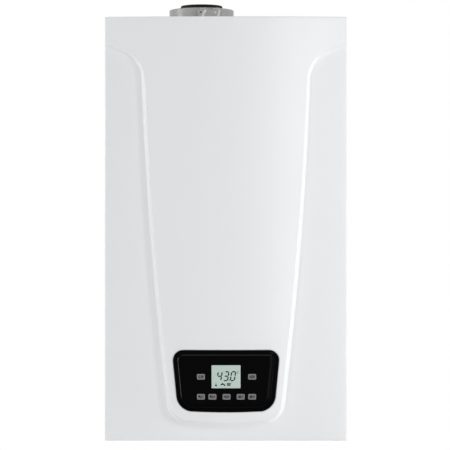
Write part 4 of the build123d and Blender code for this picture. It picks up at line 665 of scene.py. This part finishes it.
for x, z in KEYS.values():
    punch(x, z, KEY_WIDTH + 2 * KEY_GAP, KEY_HEIGHT + 2 * KEY_GAP, KEY_RADIUS + KEY_GAP)
punch(0, KEY_TOP_Z, DISPLAY_WIDTH + DISPLAY_FIT, DISPLAY_HEIGHT + DISPLAY_FIT, DISPLAY_RADIUS)
finish_mesh(panel)
paint(panel, "fascia_black")
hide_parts("control_fascia")
FACET_PROUD, FACET_SUNK = 0.02, 0.3
facet_profile = [(FACET_IN, FACE_Y - FACET_PROUD), (FACET_OUT, FACE_Y + FACET_FALL - FACET_PROUD),
                 (FACET_OUT, FACE_Y + FACET_FALL + FACET_SUNK), (FACET_IN, FACE_Y + FACET_SUNK)]
facet = make_grid("panel_facet", ring_stack(PANEL, facet_profile), "control_box",
                  True, True)
paint(facet, "fascia_facet")
print("panel", len(panel.data.polygons), "faces")

# %% [markdown]
# ## The keys
# Each key is a small grey cap with softly rounded edges, a paler rim, and a flange behind the panel
# that keeps it in. The cap's edge is an arc of rings. How far each point stands inside the cap's
# edge is an attribute on the points, which the finish reads: paler over the rounded edge, and dark
# on the wall below it, which is painted shade of the narrow gap round the key.

# %% Key caps
KEY_FACE_Y = FACE_Y - 0.32
KEY_BACK_Y = FACE_Y + PANEL_WALL + KEY_GAP
KEY_FLANGE = 1.5
KEY_EDGE = 0.8
KEY_DISH = 0.1


def add_tone(piece, inset):
    """Stores how far inside the cap's edge each point is, in millimetres."""
    tone = piece.data.attributes.new("edge_inset", "FLOAT", "POINT")
    tone.data.foreach_set("value", np.asarray(inset, np.float32))


def key_cap(name, x, z):
    """Rings of a rounded rectangle: flange, wall, quarter-round edge, slightly dished face."""
    profile = [(KEY_FLANGE - 0.3, KEY_BACK_Y + 1.2), (KEY_FLANGE, KEY_BACK_Y + 1.1),
               (KEY_FLANGE, KEY_BACK_Y), (0, KEY_BACK_Y), (0, KEY_FACE_Y + KEY_EDGE)]
    profile += [(-KEY_EDGE * (1 - cos(a)), KEY_FACE_Y + KEY_EDGE * (1 - sin(a)))
                for a in np.linspace(0.2, pi / 2, 6)]
    profile += [(-1.3, KEY_FACE_Y + 0.2 * KEY_DISH), (-2.2, KEY_FACE_Y + 0.8 * KEY_DISH),
                (-3.4, KEY_FACE_Y + KEY_DISH)]
    points = rectangle_stack(x, z, KEY_WIDTH, KEY_HEIGHT, KEY_RADIUS, profile)
    cap_name = name.replace("button", "key")
    cap = make_grid(cap_name, points, name, False, True, caps=True)
    places = np.empty(len(cap.data.vertices) * 3)
    cap.data.vertices.foreach_get("co", places)
    places = places.reshape(-1, 3) / MM
    straight = np.array([KEY_WIDTH, KEY_HEIGHT]) / 2 - KEY_RADIUS
    aside = np.abs(places[:, [0, 2]] - [x, z]) - straight
    beyond = np.hypot(*np.maximum(aside, 0).T) + np.minimum(aside.max(axis=1), 0)
    # The inset sets the key's tones, among them the painted shade of the gap on the cap's wall.
    add_tone(cap, KEY_RADIUS - beyond)
    paint(cap, "key_grey")
    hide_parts(name)
    return cap


caps = [key_cap(name, x, z) for name, (x, z) in KEYS.items()]
print("keys", len(caps))

# %% [markdown]
# ## Marks on the keys and the display
# The signs are thin printed shapes: bars, rings and discs a twentieth of a millimetre high. They
# are flat prisms here, because a raised mesh stays crisp from close by and needs no image.

# %% Flat signs
SIGN_HEIGHT = 0.05


def bar(x0, z0, x1, z1, width, point=0.0):
    """A straight stroke, with pointed ends where a point is given."""
    a, b = np.array([x0, z0], float), np.array([x1, z1], float)
    along = (b - a) / np.hypot(*(b - a))
    side = np.array([-along[1], along[0]]) * width / 2
    tip = along * point
    return np.array([a, a + side + tip, b + side - tip, b, b - side - tip, a - side + tip])


def disc(x, z, radius, count=28):
    """A round dot."""
    angle = np.linspace(0, 2 * pi, count, endpoint=False)
    return np.column_stack([x + radius * np.cos(angle), z + radius * np.sin(angle)])


def arc_strokes(x, z, radius, start, end, width, count=14):
    """A bent stroke made of short straight ones, joined end to end."""
    angle = np.linspace(start, end, count + 1)
    px, pz = x + radius * np.cos(angle), z + radius * np.sin(angle)
    return [bar(px[i], pz[i], px[i + 1], pz[i + 1], width) for i in range(count)]


def sign_piece(name, shapes, face_y, body, slot):
    """Flat prisms standing on a face, from a list of outlines."""
    points, faces = [], []
    for shape in shapes:
        shape = np.asarray(shape)
        shape = shape[np.hypot(*(shape - np.roll(shape, 1, axis=0)).T) > 1e-6]
        n, base = len(shape), sum(len(p) for p in points)
        for y in (face_y, face_y - SIGN_HEIGHT):
            points.append(np.column_stack([shape[:, 0], np.full(n, y), shape[:, 1]]))
        here = base + np.arange(n)
        ahead = base + np.roll(np.arange(n), -1)
        faces += [here.tolist(), (here + n)[::-1].tolist()]
        faces += np.column_stack([here, ahead, ahead + n, here + n]).tolist()
    piece = make_piece(name, np.concatenate(points), faces, body)
    paint(piece, slot)
    return piece


def minus_sign(x, z):
    """One short bar across."""
    return [bar(x - 1.2, z, x + 1.2, z, 0.9)]


def plus_sign(x, z):
    """The bar of the minus sign with a stub above and below it."""
    stubs = [bar(x, z + 0.45, x, z + 1.3, 0.9), bar(x, z - 1.3, x, z - 0.45, 0.9)]
    return minus_sign(x, z) + stubs


def tap_sign(x, z, s=1.0):
    """A tap seen from the side, with its spout turned down."""
    return [bar(x - 1.9 * s, z, x + 0.6 * s, z, 1.4 * s),
            bar(x - 0.7 * s, z + 0.7 * s, x - 0.7 * s, z + 1.4 * s, 0.6 * s),
            bar(x - 1.7 * s, z + 1.6 * s, x + 0.3 * s, z + 1.6 * s, 0.6 * s),
            bar(x + 0.5 * s, z + 0.3 * s, x + 1.7 * s, z - 0.5 * s, 1.1 * s),
            bar(x + 1.6 * s, z - 0.4 * s, x + 1.6 * s, z - 1.7 * s, 0.9 * s)]


def radiator_sign(x, z, s=1.0):
    """A radiator as upright bars between two rails."""
    pitch, reach = 0.8 * s, 1.6 * s
    bars = [bar(x + i * pitch, z - reach, x + i * pitch, z + reach, 0.55 * s)
            for i in range(-2, 3)]
    return bars + [bar(x - 2.1 * s, z + i * s, x + 2.1 * s, z + i * s, 0.35 * s) for i in (-1, 1)]


def reset_sign(x, z):
    """A round arrow beside the letter R."""
    letter = [bar(x + 1.4, z - 1.7, x + 1.4, z + 1.7, 0.8),
              bar(x + 1.8, z + 1.4, x + 3.4, z + 1.4, 0.7),
              bar(x + 3.2, z + 1.1, x + 3.2, z + 0.2, 0.7),
              bar(x + 1.8, z, x + 3.0, z, 0.7),
              bar(x + 2.2, z - 0.3, x + 3.4, z - 1.7, 0.8)]
    return arc_strokes(x - 2.1, z, 1.5, radians(40), radians(320), 0.7) + letter


def info_sign(x, z):
    """A ringed letter i with a bar either side."""
    ring = arc_strokes(x, z, 1.8, 0, 2 * pi, 0.6, 24)
    sides = [bar(x + side * 3.4, z - 1.6, x + side * 3.4, z + 1.6, 1.0) for side in (-1, 1)]
    return ring + sides + [bar(x, z - 1.1, x, z + 0.3, 0.7), disc(x, z + 0.9, 0.4)]


def mode_sign(x, z):
    """An open ring with an upright stroke, between a small tap and a small radiator's bars."""
    ring = arc_strokes(x, z - 0.2, 1.6, radians(120), radians(420), 0.7)
    bars = [bar(x + 2.8 + i * 0.8, z - 1.4, x + 2.8 + i * 0.8, z + 1.4, 0.5) for i in (0, 1, 2)]
    return ring + bars + [bar(x, z + 0.2, x, z + 1.9, 0.7)] + tap_sign(x - 3.2, z, 0.7)


KEY_SIGNS = {
    "button_reset": reset_sign,
    "button_info": info_sign,
    "button_hot_water_down": lambda x, z: tap_sign(x - 2.0, z, 1.15) + minus_sign(x + 3.1, z),
    "button_hot_water_up": lambda x, z: tap_sign(x - 2.0, z, 1.15) + plus_sign(x + 3.1, z),
    "button_mode": mode_sign,
    "button_heating_down": lambda x, z: radiator_sign(x - 1.8, z, 1.1) + minus_sign(x + 3.1, z),
    "button_heating_up": lambda x, z: radiator_sign(x - 1.8, z, 1.1) + plus_sign(x + 3.1, z),
}
for name, (x, z) in KEYS.items():
    sign_piece(name.replace("button", "sign"), KEY_SIGNS[name](x, z), KEY_FACE_Y + KEY_DISH,
               name, "fascia_black")
print("signs", len(KEY_SIGNS))

# %% [markdown]
# ## The display
# Behind the panel sits a small liquid-crystal glass. Its figures are the usual seven bars leaning
# to the right, with the signs for water temperature, tap and heating below. Every figure is picked
# from the same seven bars, as the real glass does it.

# %% The display glass
DISPLAY_X, DISPLAY_Z = 0.0, KEY_TOP_Z
GLASS_Y, GLASS_BACK_Y = [corner[1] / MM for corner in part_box("display_window")]
glass_profile = [(-6, GLASS_BACK_Y), (0, GLASS_BACK_Y), (0, GLASS_Y + 0.4),
                 (-0.12, GLASS_Y + 0.12), (-0.4, GLASS_Y), (-1.2, GLASS_Y), (-6, GLASS_Y)]
glass_points = rectangle_stack(DISPLAY_X, DISPLAY_Z, DISPLAY_WIDTH - DISPLAY_FIT,
                               DISPLAY_HEIGHT - DISPLAY_FIT, DISPLAY_RADIUS, glass_profile)
glass = make_grid("display_glass", glass_points, "control_box", False, True,
                  caps=True)
paint(glass, "display_glass")
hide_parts("display_window")
print("glass", len(glass.data.polygons), "faces")

# %% Figures and signs on the glass
FIGURE_LEAN = radians(9.5)
FIGURE_WIDTH, FIGURE_HEIGHT, FIGURE_PITCH = 6.5, 14.5, 11.05
FIGURE_STROKE, FIGURE_POINT, FIGURE_GAP = 2.0, 0.9, 0.4
SEGMENTS = {"4": "bcfg", "3": "abcdg", "0": "abcdef"}


def lean(shape, foot):
    """Shears a shape to the right as it rises."""
    shape = np.array(shape, float)
    shape[:, 0] += (shape[:, 1] - foot) * tan(FIGURE_LEAN)
    return shape


def figure(sign, x, z):
    """One seven-bar figure with its foot's left corner at x and z."""
    w, h, gap = FIGURE_WIDTH, FIGURE_HEIGHT / 2, FIGURE_GAP
    ends = {"a": (gap, 2 * h, w - gap, 2 * h), "g": (gap, h, w - gap, h),
            "d": (gap, 0, w - gap, 0),
            "f": (0, h + gap, 0, 2 * h - gap), "b": (w, h + gap, w, 2 * h - gap),
            "e": (0, gap, 0, h - gap), "c": (w, gap, w, h - gap)}
    strokes = [np.array(ends[k]) + [x, z, x, z] for k in SEGMENTS[sign]]
    return [lean(bar(*stroke, FIGURE_STROKE, FIGURE_POINT), z) for stroke in strokes]


figures_x, figures_z = DISPLAY_X - 15.1, DISPLAY_Z - 6.3
figures = []
for i, sign in enumerate("430"):
    figures += figure(sign, figures_x + i * FIGURE_PITCH, figures_z)
point_x = figures_x + 2 * FIGURE_PITCH - 1.9
figures.append(disc(point_x, figures_z + 0.4, 0.8))
sign_piece("display_figures", figures, GLASS_Y, "control_box", "fascia_black")

degree = arc_strokes(DISPLAY_X + 17.7, DISPLAY_Z + 7.6, 0.5, 0, 2 * pi, 0.25, 12)
degree += arc_strokes(DISPLAY_X + 20.2, DISPLAY_Z + 7.0, 1.7, radians(55), radians(305), 0.5)
sign_piece("display_degree_sign", degree, GLASS_Y, "control_box", "seal_rubber")

gauge_x, gauge_z = DISPLAY_X - 16.5, DISPLAY_Z - 14.2
icons = [bar(gauge_x, gauge_z + 1.2, gauge_x, gauge_z + 4.8, 0.7), disc(gauge_x, gauge_z, 1.6)]
spout_x, spout_z = DISPLAY_X - 5.4, DISPLAY_Z - 15.6
icons += arc_strokes(spout_x, spout_z, 3.6, radians(5), radians(150), 2.1, 10)
icons.append(bar(spout_x - 0.4, spout_z + 3.6, spout_x - 0.4, spout_z + 5.6, 1.2))
heat_x, heat_z = DISPLAY_X + 4.45, DISPLAY_Z - 12.6
icons += radiator_sign(heat_x, heat_z, 1.5)
icons.append(bar(heat_x + 3.7, heat_z + 1.5, heat_x + 4.6, heat_z + 2.6, 0.6))
sign_piece("display_icons", icons, GLASS_Y, "control_box", "fascia_black")
print("display", len(figures), "figure strokes")

# %% [markdown]
# ## The flue outlet
# A grey moulded collar stands on the top sheet, left of the middle. Its flange, wall and test boss
# are solids of the imported model already. What a moulding adds is the thin ring of flash on its rim
# and the two slanted half-round ribs that stiffen the boss, which are swept here from a round
# section. Beside the ribs are two flat marks, made like the signs on the keys: a dark disc is
# painted shade for a hollow in the boss, and a pale disc is a painted highlight.

# %% Ribs on the test boss
FLUE_X, FLUE_Y = -42.0, -125.0
BOSS_FRONT_Y = FLUE_Y - 70.0
BOSS_TOP = CASE_TOP + 21.5
RIM_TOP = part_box("flue_collar")[1][2] / MM
RIB_HEIGHT = 1.6


def slanted_rib(name, x_top, x_foot, width):
    """A half-round rib down the boss's front, its section carried from top to foot."""
    rise = np.array([0.0, 0.5, 1.5, 19.5, 20.9, 21.3])
    swell = np.array([0.3, 0.7, 1.0, 1.0, 0.7, 0.3])
    across = np.linspace(-pi / 2, pi / 2, 13)
    points = np.empty((len(rise), len(across), 3))
    middle = x_top + (x_foot - x_top) * rise / rise[-1]
    points[..., 0] = middle[:, None] + width / 2 * swell[:, None] * np.sin(across)
    points[..., 1] = BOSS_FRONT_Y + 0.2 - RIB_HEIGHT * swell[:, None] * np.cos(across)
    points[..., 2] = (BOSS_TOP - 0.1 - rise)[:, None]
    rib = make_grid(name, points, "chassis", False, True, caps=True)
    paint(rib, "flue_sleeve")
    return rib


slanted_rib("boss_rib_left", -34.8, -43.6, 4.4)
slanted_rib("boss_rib_right", -10.6, -15.6, 3.6)
shade_disc, highlight_disc = disc(-42.4, BOSS_TOP - 4.6, 1.4), disc(-18.0, BOSS_TOP - 5.0, 1.9)
# A flat black disc: painted shade where the boss has a hollow.
sign_piece("boss_recess_painted_shade", [shade_disc], BOSS_FRONT_Y, "chassis", "seal_rubber")
# A flat pale disc: a painted highlight on the boss's front.
sign_piece("boss_pin_painted_highlight", [highlight_disc], BOSS_FRONT_Y, "chassis", "flue_sleeve")
print("boss front at", BOSS_FRONT_Y, "mm, top", np.round(BOSS_TOP, 1), "mm")


# %% Turned ring
def turned(name, profile, x, y, body, slot, steps=128):
    """A closed profile of radius and height, turned about a vertical line through x and y."""
    profile = np.array(profile, float)
    angle = np.linspace(0, 2 * pi, steps, endpoint=False)
    rings = np.empty((len(profile), steps, 3))
    rings[..., 0] = x + profile[:, :1] * np.cos(angle)
    rings[..., 1] = y + profile[:, :1] * np.sin(angle)
    rings[..., 2] = profile[:, 1:]
    piece = make_grid(name, rings, body, True, True)
    paint(piece, slot)
    return piece


BEAD_RADIUS, BEAD_WIDTH, BEAD_HEIGHT = 53.6, 1.0, 0.6
BEAD_Z = RIM_TOP - 0.35
bead = [(BEAD_RADIUS + BEAD_WIDTH / 2 * cos(a), BEAD_Z + BEAD_HEIGHT / 2 * sin(a))
        for a in np.linspace(0, 2 * pi, 12, endpoint=False)]
turned("collar_rim_flash", bead, FLUE_X, FLUE_Y, "chassis", "flue_plastic")
print("flue", FLUE_X, FLUE_Y, "rim", round(float(RIM_TOP), 1))

# %% [markdown]
# ## Light, backdrop and camera
# The boiler is shown as a catalogue shows it: on white, in soft light. Three lamps in front and a
# broad one high up light the case, the right side a little more than the left. A lamp beside each
# side wall picks out the shield's step, a small one the flue collar, and a faint one comes from
# below. The white behind the boiler is only what the camera, glossy surfaces and clear ones see.

# %% The world
WHITE = (1.0, 1.0, 1.0, 1.0)
FILL_STRENGTH = 0.235
world = bpy.data.worlds.new("studio")
bpy.context.scene.world = world
world.use_nodes = True
tree = world.node_tree
fill = tree.nodes["Background"]
fill.inputs["Color"].default_value = WHITE
fill.inputs["Strength"].default_value = FILL_STRENGTH
white = tree.nodes.new("ShaderNodeBackground")
white.inputs["Color"].default_value = WHITE
path = tree.nodes.new("ShaderNodeLightPath")
mix = tree.nodes.new("ShaderNodeMixShader")
output = tree.nodes["World Output"]
seen = path.outputs["Is Camera Ray"]
for ray in ("Is Glossy Ray", "Is Transmission Ray"):
    either = tree.nodes.new("ShaderNodeMath")
    either.operation = "MAXIMUM"
    tree.links.new(seen, either.inputs[0])
    tree.links.new(path.outputs[ray], either.inputs[1])
    seen = either.outputs["Value"]
tree.links.new(seen, mix.inputs["Fac"])
tree.links.new(fill.outputs["Background"], mix.inputs[1])
tree.links.new(white.outputs["Background"], mix.inputs[2])
tree.links.new(mix.outputs["Shader"], output.inputs["Surface"])
print("world fill", FILL_STRENGTH)


# %% Lamps
def soft_lamp(name, place, target, width, height, power):
    """A rectangular area lamp at a place, turned towards a target."""
    lamp = bpy.data.lights.new(name, "AREA")
    lamp.shape = "RECTANGLE"
    lamp.size, lamp.size_y = width, height
    lamp.energy = power
    thing = bpy.data.objects.new(name, lamp)
    bpy.context.scene.collection.objects.link(thing)
    thing.location = place
    thing.rotation_euler = (Vector(target) - Vector(place)).to_track_quat("-Z", "Y").to_euler()


MIDDLE, COLLAR = (0.0, -0.2, -0.3), (-0.042, -0.125, 0.05)
soft_lamp("front_right_light", (2.0, -1.5, 0.1), MIDDLE, 0.5, 1.4, 16)
soft_lamp("front_light", (0.5, -2.2, -0.2), MIDDLE, 0.4, 1.4, 8.5)
soft_lamp("front_left_light", (-2.0, -2.1, -0.4), MIDDLE, 0.22, 1.6, 13)
soft_lamp("high_light", (0.4, -4.2, 3.6), MIDDLE, 3.4, 1.6, 44)
soft_lamp("right_light", (2.1, -0.42, -0.9), MIDDLE, 0.3, 1.0, 15)
soft_lamp("collar_light", (1.2, -0.24, 0.5), COLLAR, 0.3, 0.3, 2.5)
soft_lamp("left_light", (-2.2, -0.40, 0.2), MIDDLE, 0.25, 0.8, 18)
soft_lamp("low_light", (0.0, -0.6, -1.85), MIDDLE, 1.2, 0.6, 4.5)

# %% The floor
FLOOR_Z = -2.0
FLOOR_COLOUR = (0.72, 0.72, 0.71)
floor_mesh = bpy.data.meshes.new("studio_floor")
floor_corners = [(-3, -4, FLOOR_Z), (3, -4, FLOOR_Z), (3, 2, FLOOR_Z), (-3, 2, FLOOR_Z)]
floor_mesh.from_pydata(floor_corners, [], [(0, 1, 2, 3)])
floor = bpy.data.objects.new("studio_floor", floor_mesh)
bpy.context.scene.collection.objects.link(floor)
pale, tree, surface = new_material("pale_floor", FLOOR_COLOUR, 0.7)
vary_colour(tree, add_noise(tree, 3.0), surface, FLOOR_COLOUR, 0.02)
floor_mesh.materials.append(pale)
print("floor", -FLOOR_Z, "m below the bracket's holes")

# %% The camera
CAMERA_DISTANCE = 3.5
CAMERA_HEIGHT = -0.3036
CAMERA_ASIDE = -0.00165
LENS, SENSOR_WIDTH = 170.27, 36.0
camera = bpy.data.cameras.new("camera")
camera.sensor_width = SENSOR_WIDTH
camera.lens = LENS
camera.clip_end = 50.0
viewer = bpy.data.objects.new("camera", camera)
bpy.context.scene.collection.objects.link(viewer)
viewer.location = (CAMERA_ASIDE, FACE_Y * MM - CAMERA_DISTANCE, CAMERA_HEIGHT)
viewer.rotation_euler = (pi / 2, 0.0, 0.0)
bpy.context.scene.camera = viewer
bpy.context.scene.view_settings.view_transform = "Standard"
print("camera", np.round(viewer.location, 4))
